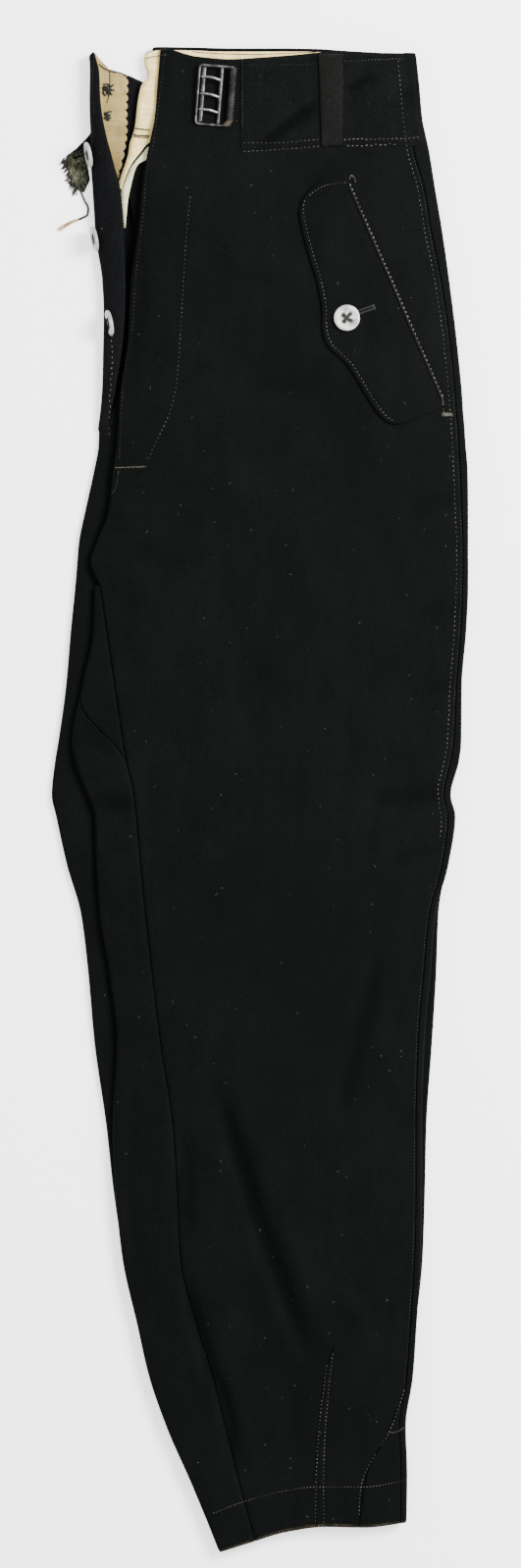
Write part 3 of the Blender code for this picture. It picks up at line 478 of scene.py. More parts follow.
def makeCotton(name, base, pale, stain, stained, lowerDarkening):
    shade = Shade(name, "cream_cotton", Roughness=0.9, Specular_IOR_Level=0.15, Sheen_Weight=0.08)
    slubs = shade.noise(420, 3, 0.6, shade.stretched(1.0, 0.12, 1.0))
    cross = shade.noise(420, 3, 0.6, shade.stretched(0.12, 1.0, 1.0))
    blots = shade.noise(48, 4, 0.62)
    colour = shade.mix((slubs * 0.5 + cross * 0.5).between(0.38, 0.64), base, pale)
    colour = shade.mix(blots.between(0.5, 0.72) * stained, colour, stain)
    # Darker and browner towards its lower end, set by height
    upward = shade.node("ShaderNodeSeparateXYZ", None, {0: shade.place}, output=1)
    lowDown = 1 - upward.between(cottonLook["brownEnd"], cottonLook["brownStart"])
    colour = shade.mix(lowDown * lowerDarkening, colour, stain)
    shade.set("Base Color", colour)
    ends = shade.node("ShaderNodeTexWave", {"bands_direction": "X"}, {"Vector": shade.place, "Scale": 480})
    picks = shade.node("ShaderNodeTexWave", {"bands_direction": "Y"}, {"Vector": shade.place, "Scale": 480})
    shade.bump(ends * 0.4 + picks * 0.4 + slubs * 0.6 + cross * 0.4, cottonLook["weave"], 0.9)
    return shade.material


cotton, facingCotton, drabCotton = [makeCotton(name, *values) for name, values in cottonColours.items()]

threadColours = {  # the slot and the two colours
    "faintThread": ("black_wool", (0.009, 0.0095, 0.009), (0.036, 0.036, 0.032)),
    "tanThread": ("black_wool", (0.036, 0.035, 0.030), (0.11, 0.105, 0.088)),
    "wornThread": ("black_wool", (0.06, 0.055, 0.045), (0.17, 0.155, 0.125)),
    "darkThread": ("black_wool", (0.006, 0.006, 0.006), (0.02, 0.02, 0.019)),
    "shadowThread": ("black_wool", (0.0003, 0.0003, 0.0003), (0.0006, 0.0006, 0.0006)),
    "holeThread": ("black_wool", (0.02, 0.022, 0.018), (0.075, 0.078, 0.062)),
    "brownThread": ("black_wool", (0.03, 0.02, 0.01), (0.10, 0.07, 0.035)),
    "lintFibre": ("black_wool", (0.035, 0.034, 0.03), (0.11, 0.105, 0.092)),
    "woundThread": ("wrap_thread", (0.007, 0.007, 0.0065), (0.030, 0.029, 0.026)),
    "goldThread": ("wrap_thread", (0.014, 0.011, 0.007), (0.05, 0.039, 0.024)),
    "frayThread": ("strap_wool", (0.012, 0.0125, 0.0075), (0.065, 0.065, 0.04)),
    "toothThread": ("strap_wool", (0.004, 0.004, 0.003), (0.02, 0.02, 0.014)),
    "paleFray": ("strap_wool", (0.07, 0.075, 0.042), (0.2, 0.2, 0.12)),
    "duskyThread": ("strap_wool", (0.012, 0.010, 0.008), (0.05, 0.042, 0.03)),
    "looseThread": ("strap_wool", (0.22, 0.14, 0.07), (0.52, 0.39, 0.22)),
    "greyThread": ("cream_cotton", (0.004, 0.0036, 0.004), (0.015, 0.014, 0.015)),
}


def makeThread(name, slot, first, second):
    shade = Shade(name, slot, Roughness=0.75, Specular_IOR_Level=0.2)
    worn = shade.noise(70, 3, 0.6)
    twist = shade.noise(1800, 2, 0.5)
    shade.set("Base Color", shade.mix(worn.between(0.42, 0.62), first, second))
    shade.bump(twist, 0.00008, 0.6)
    return shade.material


thread = {name: makeThread(name, *values) for name, values in threadColours.items()}
print("finishes made")

# The folded legs
rowStep = 3.5
downs = np.unique(np.concatenate([np.arange(0, hemRow, rowStep), [262.4, 264.0, hemRow]]))


def spreadShares(count, crowd=0.7):  # more columns near both edges
    share = np.linspace(0, 1, count)
    return share - crowd * np.sin(2 * np.pi * share) / (2 * np.pi)


def wrapped(knot, left, front, right, seam, gap, top):
    reach = (2 * cloth + gap) / 2
    lipLeft = (front - seamGap / 2) * (1 - knot) + (left + reach) * knot
    hidden = (left + reach) * (3 - knot) + (right - reach) * (knot - 2)
    lipRight = (right - reach) * (5 - knot) + (seam + seamGap / 2) * (knot - 4)
    centre = np.where(knot < 2, left + reach, right - reach)
    angle = np.pi * np.where(knot < 2, knot - 0.5, knot - 1.5)
    half = top(centre) / 2
    cases = [knot <= 1, knot >= 4, (knot >= 2) & (knot <= 3)]
    lips = np.select(cases, [lipLeft, lipRight, hidden])
    topHere = top(lips)
    outerAcross = np.select(cases, [lipLeft, lipRight, hidden], centre + reach * np.cos(angle))
    innerAcross = np.select(cases, [lipLeft, lipRight, hidden], centre + (reach - cloth) * np.cos(angle))
    outerHeight = np.select(cases, [topHere, topHere, 0], half + half * np.sin(angle))
    innerHeight = np.select(cases, [topHere - cloth, topHere - cloth, cloth],
                            half + (half - cloth) * np.sin(angle))
    return (outerAcross, outerHeight), (innerAcross, innerHeight)


def columnsAt(names, down):
    return [edge[name](down)[:, None] for name in names]


def upperBack(knot, down):
    left, front, right, seam = columnsAt(("upperLeft", "upperFront", "upperRight", "sideSeam"), down)
    pair = wrapped(knot, left, front, right, seam, upperGap, lambda a: upperTop(a, down[:, None]) - upperBase)
    return [world(a, slanted(down[:, None], a, backWaist), upperBase + height) for a, height in pair]


def lowerBack(knot, down):
    names = ("lowerLeft", "lowerFront", "lowerRight", "sideSeam", "upperRight")
    left, front, right, seam, top = columnsAt(names, down)
    pair = wrapped(knot, left, front, right, right - top + seam, lowerGap,
                   lambda a: lowerTopAt(a, down[:, None]))
    places = []
    for a, height in pair:
        turned = lowerTopAt(a, down[:, None]) - height
        places.append(world(a, slanted(down[:, None], a, rightWaist, 2.0), turned))
    return places


rollEnd = 2.06  # knot where the columns past the left roll begin


def startKnot(starts, down):  # where the lip's free edge is, as a knot of the wrapped path
    return np.interp(down, [pair[0] for pair in starts], [pair[1] for pair in starts])[:, None]


def backKnots(shares, starts, down):
    start = startKnot(starts, down)
    blended = start + (rollEnd - start) * shares[None, :] / rollEnd
    return np.where(shares[None, :] >= rollEnd, shares[None, :] + 0 * start, blended)


leftBackStart = ((0, 2.01), (410, 2.01), (450, 1.5), (490, 0.2), (502, 0.0), (hemRow, 0.0))
rightBackStart = ((0, 2.005), (256, 2.005), (268, 0.6), (290, 0.0), (hemRow, 0.0))
backShares = np.concatenate([np.linspace(0, 1, 15), np.linspace(1, 2, 11)[1:], np.linspace(rollEnd, 3, 9),
                             np.linspace(3, 4, 11)[1:], np.linspace(4, 5, 7)[1:]])
leftBack = wall("leftBackPanel", *upperBack(backKnots(backShares, leftBackStart, downs), downs), wool,
                ["left_back"], seamLook["bulge"])
rightBack = wall("rightBackPanel", *lowerBack(backKnots(backShares, rightBackStart, downs), downs), wool,
                 ["right_back"])
forkDowns = np.linspace(380, 501.6, 60)
forkEnd = startKnot(leftBackStart, forkDowns)
forkKnots = np.linspace(0, 1, 27)[None, :] * np.maximum(forkEnd - 0.02, 0.01)
forkPiece = wall("leftForkPiece", *upperBack(forkKnots, forkDowns), wool, ["left_back_fork_piece"])


def panel(down, left, right, count, crowd=0.7):
    across = left[:, None] + (right - left)[:, None] * spreadShares(count, crowd)[None, :]
    place = slanted(down[:, None], across, frontWaist)
    top = upperTop(across, down[:, None])
    return world(across, place, top), world(across, place, top - cloth)


halfSeam = seamGap / 2
leftFront = wall("leftFrontPanel", *panel(downs, edge["upperFront"](downs) + halfSeam,
                                          edge["frontRight"](downs) - halfSeam, 78), wool, ["left_front"],
                 seamLook["bulge"])
ankleDowns = np.linspace(938, hemRow, 60)
anklePiece = wall("anklePanel", *panel(ankleDowns, edge["frontRight"](ankleDowns) + halfSeam,
                                       edge["sideSeam"](ankleDowns) - halfSeam, 16, 0.3), wool,
                  ["ankle_piece"])
layerLook = {"start": 30, "end": 1008, "step": 6.0, "flyInset": 12, "inset": 4.2, "under": 0.4}
layerDowns = np.arange(layerLook["start"], layerLook["end"], layerLook["step"])
layerLeft = np.where(layerDowns < 340, edge["upperFront"](layerDowns) + layerLook["flyInset"],
                     edge["upperLeft"](layerDowns) + layerLook["inset"])
layerWide = edge["upperRight"](layerDowns) - layerLook["inset"] - layerLeft
layerAcross = layerLeft[:, None] + layerWide[:, None] * np.linspace(0, 1, 40)
layerTop = upperTop(layerAcross, layerDowns[:, None]) - cloth - layerLook["under"]
layerPlace = slanted(layerDowns[:, None], layerAcross, frontWaist)
wall("hiddenLayers", world(layerAcross, layerPlace, np.maximum(layerTop, upperInside + 0.5)),
     world(layerAcross, layerPlace, upperInside + 0.2), wool, ["folded_layers"], seamLook["bulge"])
for piece in (leftBack, leftFront, anklePiece):
    paintCreaseShade(piece)
print("legs made")


# Finds the upper face of made pieces
class Ground:
    def __init__(self, pieces):
        self.trees = []
        for piece in pieces:
            mesh = piece.data
            faces = [face.vertices[:] for face in mesh.polygons]
            self.trees.append(BVHTree.FromPolygons([point.co.copy() for point in mesh.vertices], faces))

    def hit(self, across, down):  # place in metres and normal
        start = Vector(world(across, down, 60.0))
        best = None
        for tree in self.trees:
            point, normal = tree.ray_cast(start, Vector((0, 0, -1)))[:2]
            if point is not None and (best is None or point.z > best[0].z):
                best = (point, normal)
        return best

    def heights(self, across, down):  # the highest of three places, so that a seam's gap isn't felt
        found = np.full(across.shape, np.nan)
        for place in np.ndindex(across.shape):
            hits = [self.hit(across[place] + shift, down[place]) for shift in (-0.5, 0, 0.5)]
            tops = [best[0].z / mm for best in hits if best]
            if tops:
                found[place] = max(tops)
        return np.where(np.isnan(found), np.nanmean(found), found)


def overlay(name, across, down, ground, thick, finish, node, lift, shape, bulge=rimLook["bulge"]):
    base = ground.heights(across, down) + lift
    top = base + thick + shape
    return wall(name, world(across, down, top), world(across, down, base), finish, [node], bulge)


def ringFaces(rows, sides):  # the faces between closed rings of points
    faces = []
    for row in range(rows - 1):
        for step in range(sides):
            after = (step + 1) % sides
            faces.append((row * sides + step, row * sides + after, (row + 1) * sides + after,
                          (row + 1) * sides + step))
    return faces


def tubeFaces(rows, sides):  # rings closed at both ends, onto the two points that follow them
    faces = ringFaces(rows, sides)
    start = rows * sides
    last = start - sides
    for step in range(sides):
        after = (step + 1) % sides
        faces.append((after, step, start, start))
        faces.append((last + step, last + after, start + 1, start + 1))
    return faces


def sweep(points, radius, sides=8, flat=1.0):  # points and faces of a closed tube along a route in metres
    points = np.asarray(points, float)
    radius = np.broadcast_to(radius, len(points)).astype(float)
    run = np.gradient(points, axis=0)
    run /= np.maximum(np.linalg.norm(run, axis=1), 1e-12)[:, None]
    side = np.cross(run, (0, 0, 1.0))
    weak = np.linalg.norm(side, axis=1) < 1e-3
    side[weak] = np.cross(run[weak], (0, 1.0, 0))
    side /= np.linalg.norm(side, axis=1)[:, None]
    up = np.cross(side, run)
    angle = 2 * np.pi * np.arange(sides) / sides
    rings = (points[:, None, :] + radius[:, None, None] * (np.cos(angle)[None, :, None] * side[:, None, :]
             + flat * np.sin(angle)[None, :, None] * up[:, None, :]))
    verts = np.concatenate([rings.reshape(-1, 3), points[:1], points[-1:]])
    return verts, tubeFaces(len(points), sides)


def joined(name, parts, finish, nodes=()):  # several closed forms as one piece
    points = []
    faces = []
    base = 0
    for verts, quads in parts:
        points.append(verts)
        faces += [tuple(dict.fromkeys(corner + base for corner in quad)) for quad in quads]
        base += len(verts)
    mesh = bpy.data.meshes.new(name)
    mesh.from_pydata(np.concatenate(points).tolist(), [], faces)
    return placeObject(name, mesh, finish, nodes)


def smoothRoute(points, step):  # even points along a smooth line through (across, down) points
    points = np.asarray(points, float)
    gone = np.concatenate([[0], np.cumsum(np.hypot(*np.diff(points, axis=0).T))])
    fine = np.linspace(0, gone[-1], max(2, int(gone[-1] / step) + 1))
    if len(points) < 3:
        return np.stack([np.interp(fine, gone, points[:, k]) for k in (0, 1)], -1)
    return np.stack([smoothTable(gone, points[:, k])(fine) for k in (0, 1)], -1)


# Button stand of the right fly, turned up along its edge, with its facing
standTable = np.array((
    (5, -119.5, -116.6, 13.0), (14.5, -119.5, -113.2, 14.0), (36, -119.5, -111.8, 15.0),
    (62, -119.5, -107.6, 15.5), (83.5, -119.5, -102.8, 15.0), (100, -118.5, -98.6, 14.5),
    (130, -117.2, -95.4, 13.5), (165, -111.6, -94.5, 12.5), (205, -110.5, -96.0, 12.0),
    (245, -111.5, -102.0, 9.5), (262, -112.5, -106.0, 7.0), (272, -113.6, -109.0, 4.6)))
standLook = {"flat": 8.0, "bulge": 1.6, "pinkPitch": 7.3, "pinkDepth": 1.7, "facingEnds": 97.0,
             "facingLift": 0.3, "facingThick": 1.0}
standWaist = ((-121.5, 7), (-119.5, 2.5), (-117, 0), (-114, 3), (-106, 12), (-100, 14), (-92, 17), (-80, 23))
facingEdge = ((5, -94.5), (50, -94.5), (75, -97.0), (88, -99.5), (97, -101.5))
standEdge = {name: smoothTable(standTable[:, 0], standTable[:, 1 + k])
             for k, name in enumerate(("outer", "ridge", "height"))}


def standPath(down, flatFrom, curl=22, flat=7):
    half = cloth / 2
    outer = float(standEdge["outer"](down)) + 0.25 * math.sin(down / 9)
    ridge = float(standEdge["ridge"](down)) + 0.3 * math.sin(down / 14 + 1)
    height = float(standEdge["height"](down)) - half + 0.25 * math.sin(down / 11)
    foot = outer + min(standLook["flat"], 0.6 * (flatFrom - outer))
    bulged = outer - standLook["bulge"]
    corners = np.array(((foot, half), (bulged, half), (bulged, height), (ridge, height)))
    t = np.linspace(0, 1, curl)[:, None]
    curve = ((1 - t) ** 3 * corners[0] + 3 * (1 - t) ** 2 * t * corners[1] + 3 * (1 - t) * t**2 * corners[2]
             + t**3 * corners[3])
    level = np.stack([np.linspace(flatFrom, foot, flat)[:-1], np.full(flat - 1, half)], -1)
    return np.concatenate([level, curve])


def pathSide(path):
    run = np.gradient(path, axis=0)
    run /= np.linalg.norm(run, axis=1)[:, None]
    return np.stack([run[:, 1], -run[:, 0]], -1)


def standDown(down, across):
    return down + reader(standWaist)(across) * max(0.0, 1 - down / 75)


def standWall(name, rows, starts, low, high, shift, finish, node):
    outer = []
    inner = []
    for down, start in zip(rows, starts):
        path = standPath(down, start)
        side = pathSide(path)
        place = standDown(down, path[:, 0]) + shift
        near = path + side * low
        far = path + side * high
        near[:, 1] = np.maximum(near[:, 1], 0)
        outer.append(world(near[:, 0], place, near[:, 1]))
        inner.append(world(far[:, 0], place, far[:, 1]))
    return wall(name, np.array(outer), np.array(inner), finish, [node])


standDowns = np.linspace(5, 271, 107)
# The stand wears the lighter copy of the black wool, as painted light
stand = standWall("buttonStand", standDowns, edge["lowerFront"](standDowns) - halfSeam, -cloth / 2, cloth / 2,
                  0.0, litStandWool, "button_stand")
pinkDowns = np.arange(5, standLook["facingEnds"], 0.5)
scallops = np.abs(np.sin(np.pi * pinkDowns / standLook["pinkPitch"])) ** 0.8 * standLook["pinkDepth"]
uneven = 0.3 * np.sin(pinkDowns / 9)
facingBase = cloth / 2 + standLook["facingLift"]
facing = standWall("standFacing", pinkDowns, reader(facingEdge)(pinkDowns) + scallops + uneven, facingBase,
                   facingBase + standLook["facingThick"], 0.5, facingCotton, "button_stand_facing")

# Linings in the open fly
liningRows = np.array(((2, -80.8, 56), (9, -81.6, 56), (13, -81.2, 52), (18, -79.4, 50), (23, -79.8, 20),
                       (28, -83.4, 0), (35, -85.2, -10), (42, -86.3, -20), (56, -87.8, -44), (62, -89.2, -62),
                       (69, -91.6, -78.5), (76, -92.6, -84.5), (84, -95.0, -90.6),
                       (90, -97.2, -93.4), (98, -99.6, -96.3), (101, -100.2, -97.2)))
pocketingRows = np.array(((69.5, -78, -62), (76, -84.0, -64), (81.5, -88.2, -82), (84.2, -90.2, -86),
                          (95, -94.9, -89.8), (101, -97.6, -91.2), (109, -98.2, -92.7), (120, -97.4, -93.8),
                          (129.5, -96.2, -94.6)))


liningLook = {"thick": 0.9, "roll": 2.2, "rollWidth": 3.5}


def flatLining(name, table, step, count, finish, node, lift, ripple, belowEdge=0.0):
    rows = np.arange(table[0, 0], table[-1, 0] + 0.01, step)
    left = smoothTable(table[:, 0], table[:, 1])(rows)[:, None]
    right = smoothTable(table[:, 0], table[:, 2])(rows)[:, None]
    across = left + (right - left) * (np.linspace(0, 1, count) ** 1.5)[None, :]
    toTop = np.clip(1 - (rows[:, None] - 2) / 22, 0, 1) * belowEdge
    down = rows[:, None] + toTop * (reader(backWaist)(across) + 0.5)
    wave = ripple * (np.sin(across / 3.4 + down / 11) + np.sin(down / 7.5 - across / 9)) * 0.5
    over = np.clip((left + liningLook["rollWidth"] - across) / liningLook["rollWidth"], 0, 1) ** 2
    height = upperInside + lift + np.abs(wave) - liningLook["roll"] * over
    top = height + liningLook["thick"]
    return wall(name, world(across, down, top), world(across, down, height), finish, [node])


lining = flatLining("waistLining", liningRows, 1.0, 60, cotton, "waist_lining", 0.5, 0.35, 1.0)
pocketCloth = flatLining("pocketCloth", pocketingRows, 1.4, 16, drabCotton, "pocketing", 0.2, 0.5)
print("fly made")

# Waist strap, belt loop, pocket flap and ankle tuck on the left front
frontGround = Ground([leftFront, leftBack, anklePiece])
strapLook = {"left": -14.0, "long": 121, "thick": 1.0, "groove": 0.3, "below": 1.2, "sideGap": 3.0}
strapFoot = reader(((-14, 74), (60, 71), (118, 71)))
share = np.linspace(0, 1, 96)[None, :]
depth = np.linspace(0, 1, 56)[:, None]
straight = strapLook["left"] + strapLook["long"] * share + 0 * depth
strapTop = reader(frontWaist)(straight) + strapLook["below"]
strapDown = strapTop + (strapFoot(straight) - strapTop) * depth
strapRight = edge["upperRight"](strapDown) - strapLook["sideGap"]
strapAcross = strapLook["left"] + (strapRight - strapLook["left"]) * share
fromTop = strapDown - strapTop
fromFoot = strapFoot(straight) - strapDown
stitchLines = ((fromTop, 5.5, 0.9), (fromFoot, 1.4, 0.8), (fromFoot, 5.6, 0.9))
stripes = sum(np.exp(-((distance - middle) / width) ** 2) for distance, middle, width in stitchLines)
strapShape = 0.25 - strapLook["groove"] * stripes
strapShape = strapShape - 0.95 * (1 - easeStep(0, 4.5, np.minimum(fromFoot, strapAcross - strapLook["left"])))
waistStrap = overlay("waistStrap", strapAcross, strapDown, frontGround, strapLook["thick"], strapWool,
                     "waist_strap", 0.08, strapShape, 0.3)
paintCreaseShade(waistStrap)
strapGround = Ground([waistStrap, leftFront])
loopLook = {"top": 6.6, "foot": 71.5, "thick": 1.3, "puff": 0.55, "lift": 0.3}
loopRows = np.linspace(loopLook["top"], loopLook["foot"], 50)[:, None]
loopShare = np.linspace(0, 1, 13)[None, :]
loopLeft = reader(((6, 40.6), (24, 41.5), (56, 42.5), (72, 43)))(loopRows)
loopRight = reader(((6, 58.2), (24, 58.3), (56, 58), (72, 57.8)))(loopRows)
loopRight = loopRight + 0.35 * np.sin(loopRows / 2.3) * np.sin(loopRows / 5.1)
loopRise = np.sin(np.pi * (loopRows - 6) / 66) ** 0.4
loopShape = loopLook["puff"] * (1 - np.abs(2 * loopShare - 1) ** 3) * loopRise
loopShape = loopShape + 0.12 * np.sin(loopRows / 3.1 + 5 * loopShare)
beltLoop = overlay("beltLoop", loopLeft + (loopRight - loopLeft) * loopShare, loopRows + 0 * loopShare,
                   strapGround, loopLook["thick"], loopWool, "belt_loop", loopLook["lift"], loopShape)

flapLook = {"start": (62.0, 94.5), "end": (130.0, 250.5), "length": 173, "thick": 1.5, "stitchIn": 3.4,
            "groove": 0.3, "bow": 5.5}
flapWidths = ((0, 26), (0.8, 31.5), (2.2, 35.8), (4, 38.6), (8, 41.2), (16, 43.5), (37, 47), (58, 49.5),
              (77, 54), (88, 58.6), (97, 60.6), (103, 60.2), (110, 57), (121, 52.8), (141, 50), (157, 47.5),
              (165, 44.6), (169, 41.5), (171.5, 37.6), (173, 31))
flapStart = np.array(flapLook["start"])
flapAlong = np.array(flapLook["end"]) - flapStart
flapAlong /= np.hypot(*flapAlong)
flapOut = np.array((-flapAlong[1], flapAlong[0]))
ends = 0.5 - 0.5 * np.cos(np.pi * np.linspace(0, 1, 120))
alongFlap = (0.45 * np.linspace(0, 1, 120) + 0.55 * ends) * flapLook["length"]


def flapPoint(along, out):  # the upper end bows up
    along, out = np.broadcast_arrays(along, out)
    bowed = along - flapLook["bow"] * np.sin(np.pi * np.clip(out / 38, 0, 1)) * np.clip(1 - along / 40, 0, 1)
    return flapStart + bowed[..., None] * flapAlong + out[..., None] * flapOut


flapWidth = reader(flapWidths)(alongFlap)[:, None]
flapShares = 1 - (1 - np.linspace(0, 1, 46)[None, :]) ** 1.15
out = flapWidth * flapShares
fromEnds = np.minimum(alongFlap, flapLook["length"] - alongFlap)[:, None]
fromEdge = np.minimum(flapWidth - out, fromEnds + 0 * out)
pressed = np.exp(-((fromEdge - flapLook["stitchIn"]) / 0.9) ** 2)
flapShape = 0.25 * easeStep(0, 2.5, fromEdge) - flapLook["groove"] * pressed
flapShape = flapShape + 0.35 * np.sin(np.pi * flapShares) * (1 + np.sin(alongFlap / 19)[:, None])
flapShape = flapShape - 0.8 * np.exp(-(out / 2.2) ** 2)
places = flapPoint(alongFlap[:, None] + 0 * out, out)
flap = overlay("pocketFlap", places[..., 0], places[..., 1], frontGround, flapLook["thick"], wool,
               "pocket_flap", 0.35, flapShape)

tuckLook = {"thick": 0.7, "groove": 0.4, "lift": 0.1}
tuckTable = np.array(((913, 52.2, 53.0), (918, 50.4, 53.0), (931, 46.3, 50.6), (965, 42.0, 48.0),
                      (1003, 39.5, 45.2), (1038, 39.4, 44.6)))
tuckRows = np.arange(913, 1040, 1.6)[:, None]
tuckShare = np.linspace(0, 1, 9)[None, :]
tuckLeft = smoothTable(tuckTable[:, 0], tuckTable[:, 1])(tuckRows)
tuckRight = smoothTable(tuckTable[:, 0], tuckTable[:, 2])(tuckRows)
tuckStitches = sum(np.exp(-((tuckShare - middle) / 0.1) ** 2) for middle in (0.22, 0.8))
tuckShape = 0.35 - tuckLook["groove"] * tuckStitches
tuck = overlay("ankleTuck", tuckLeft + (tuckRight - tuckLeft) * tuckShare, tuckRows + 0 * tuckShare,
               frontGround, tuckLook["thick"], wool, "ankle_tuck", tuckLook["lift"], tuckShape)
print("overlays made")

# Cinch buckle: wires and prongs in the buckle's own frame, right and down from its left edge
steelLook = {"colour": (0.035, 0.035, 0.034), "worn": (0.12, 0.12, 0.118), "prongs": (0.30, 0.30, 0.29)}


def makeSteel(name, dull, worn):
    shade = Shade(name, "dark_steel", Metallic=0.85, Specular_IOR_Level=0.5)
    wearing = shade.noise(160, 5, 0.65)
    shade.set("Base Color", shade.mix(wearing.between(0.45, 0.66), dull, worn))
    shade.set("Roughness", wearing * 0.3 + 0.28)
    shade.bump(shade.noise(700, 4, 0.6), 0.00006, 0.5)
    return shade.material


steel = makeSteel("buckleSteel", steelLook["colour"], steelLook["worn"])
brightSteel = makeSteel("prongSteel", steelLook["worn"], steelLook["prongs"])
buckleLook = {"turn": math.radians(-4.6), "centre": (-33.8, 35.8), "halfWidth": 10.7,
              "prongs": (-11.5, 0.4, 11.4), "loopRight": 24.45, "loopUp": 2.1, "windings": 25}
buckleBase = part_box("buckle")[0][2] / mm


def buckleRoute(points):  # right, down and height from the buckle's left edge and middle
    points = np.asarray(points, float)
    right = points[:, 0] - buckleLook["halfWidth"]
    down = points[:, 1]
    c, s = math.cos(buckleLook["turn"]), math.sin(buckleLook["turn"])
    centre = buckleLook["centre"]
    return world(centre[0] + (right * c + down * s), centre[1] + (-right * s + down * c),
                 buckleBase + points[:, 2])


def arcRoute(corners, radius, count=6):  # rounds the corners of a route of (right, down, height)
    corners = [np.array(corner, float) for corner in corners]
    route = [corners[0]]
    for before, here, after in zip(corners, corners[1:], corners[2:]):
        toward = here + (before - here) / np.linalg.norm(before - here) * radius
        away = here + (after - here) / np.linalg.norm(after - here) * radius
        for t in np.linspace(0, 1, count):
            route.append((1 - t) ** 2 * toward + 2 * t * (1 - t) * here + t * t * away)
    route.append(corners[-1])
    return route


def finer(points, step=1.0):
    points = np.asarray(points, float)
    gone = np.concatenate([[0], np.cumsum(np.linalg.norm(np.diff(points, axis=0), axis=1))])
    fine = np.linspace(0, gone[-1], max(3, int(gone[-1] / step)))
    return np.stack([np.interp(fine, gone, points[:, k]) for k in range(3)], -1)


outerWire = arcRoute(((24.6, -20.6, 1.2), (0.8, -20.6, 1.2), (0.8, 20.6, 1.2), (24.0, 20.6, 1.2)), 2.6)
parts = [sweep(buckleRoute(finer(outerWire, 0.9)), 0.82 * mm, 10)]
parts.append(sweep(buckleRoute(finer(((4.1, -19.4, 1.0), (4.1, 19.2, 1.0)))), 1.35 * mm, 12, 0.5))
parts.append(sweep(buckleRoute(finer(((16.6, -20.0, 1.1), (16.6, 20.0, 1.1)))), 1.15 * mm, 12, 0.75))
prongs = []
for prong in buckleLook["prongs"]:
    arched = [(2.2, prong - 1.0, 2.3), (5.0, prong - 1.0, 2.9), (9.0, prong - 0.9, 3.3),
              (12.0, prong - 0.4, 2.8), (14.4, prong + 0.2, 2.0), (16.2, prong + 0.5, 1.6)]
    route = smoothRoute(np.array(arched)[:, :2], 0.7)
    heights = np.interp(route[:, 0], [p[0] for p in arched], [p[2] for p in arched])
    radii = np.interp(route[:, 0], (2.2, 3.4, 9, 14, 16.2), (0.25, 0.72, 0.85, 0.95, 0.8)) * mm
    prongs.append(sweep(buckleRoute(np.column_stack([route, heights])), radii, 10, 0.8))
joined("cinchBuckle", parts, steel, ["buckle"])
joined("buckleProngs", prongs, brightSteel)

loopRight, loopUp = buckleLook["loopRight"], buckleLook["loopUp"]
coreRoute = finer(((loopRight, -19.8, loopUp), (loopRight, 18.2, loopUp), (23.2, 20.4, 2.0)), 0.8)
core = sweep(buckleRoute(coreRoute), 1.55 * mm, 10)
angle = np.linspace(0, buckleLook["windings"] * 2 * np.pi, buckleLook["windings"] * 14)
along = np.linspace(-19.6, 17.4, len(angle))
coil = np.column_stack([loopRight + 1.75 * np.cos(angle), along + 0.1 * np.sin(along),
                        loopUp + 1.75 * np.sin(angle)])
joined("buckleLoop", [core, sweep(buckleRoute(coil), 0.62 * mm, 6)], thread["woundThread"], ["buckle_loop"])
angle = np.linspace(0, 6.5 * 2 * np.pi, 90)
along = np.linspace(0, 1, len(angle))
coil = np.column_stack([24.2 - 2.6 * along + 1.9 * np.cos(angle), 17.2 + 3.4 * along,
                        loopUp + 1.9 * np.sin(angle)])
joined("loopKnot", [sweep(buckleRoute(coil), 0.5 * mm, 5)], thread["goldThread"])

# Buttons
# The dull colour is the pale horn darkened as painted shade, for the fly buttons
hornLook = {"pale": (0.54, 0.54, 0.52), "dark": (0.20, 0.20, 0.19), "dull": (0.36, 0.36, 0.35), "size": 0.96,
            "holeCircle": 3.6, "steps": 84}


def makeHorn(name, pale, dark):
    shade = Shade(name, "pale_horn", Roughness=0.42, Coat_Weight=0.15, Coat_Roughness=0.3)
    cloudy = shade.noise(140, 5, 0.62)
    scratches = shade.noise(700, 3, 0.6, shade.stretched(1, 0.2, 1))
    clouding = cloudy.between(0.42, 0.64) * 0.85 + scratches.between(0.55, 0.7) * 0.3
    shade.set("Base Color", shade.mix(clouding, pale, dark))
    shade.set("Roughness", cloudy * 0.25 + 0.3)
    shade.bump(cloudy * 0.6 + scratches * 0.4, 0.0001, 0.6)
    return shade.material


horn = makeHorn("paleHorn", hornLook["pale"], hornLook["dark"])
# Painted shade: a darker copy of the pale horn, for the fly buttons
shadedHorn = makeHorn("shadedHorn", hornLook["dull"], hornLook["dark"])
profile = ((0.0, 1.9), (0.5, 1.9), (3.6, 1.95), (5.1, 2.05), (5.9, 2.35), (6.6, 2.75), (7.4, 2.95),
           (8.4, 2.9), (9.1, 2.5), (9.5, 1.75), (9.3, 1.0), (8.6, 0.4), (6.5, 0.05), (3.0, 0.0), (0.0, 0.0))
holes = [(hornLook["holeCircle"] * math.cos(a), hornLook["holeCircle"] * math.sin(a))
         for a in (math.pi / 4 + k * math.pi / 2 for k in range(4))]


def spun(points, turn):  # turned round the third axis
    c, s = math.cos(turn), math.sin(turn)
    x, y = points[:, 0], points[:, 1]
    return np.column_stack([x * c - y * s, x * s + y * c, points[:, 2]])


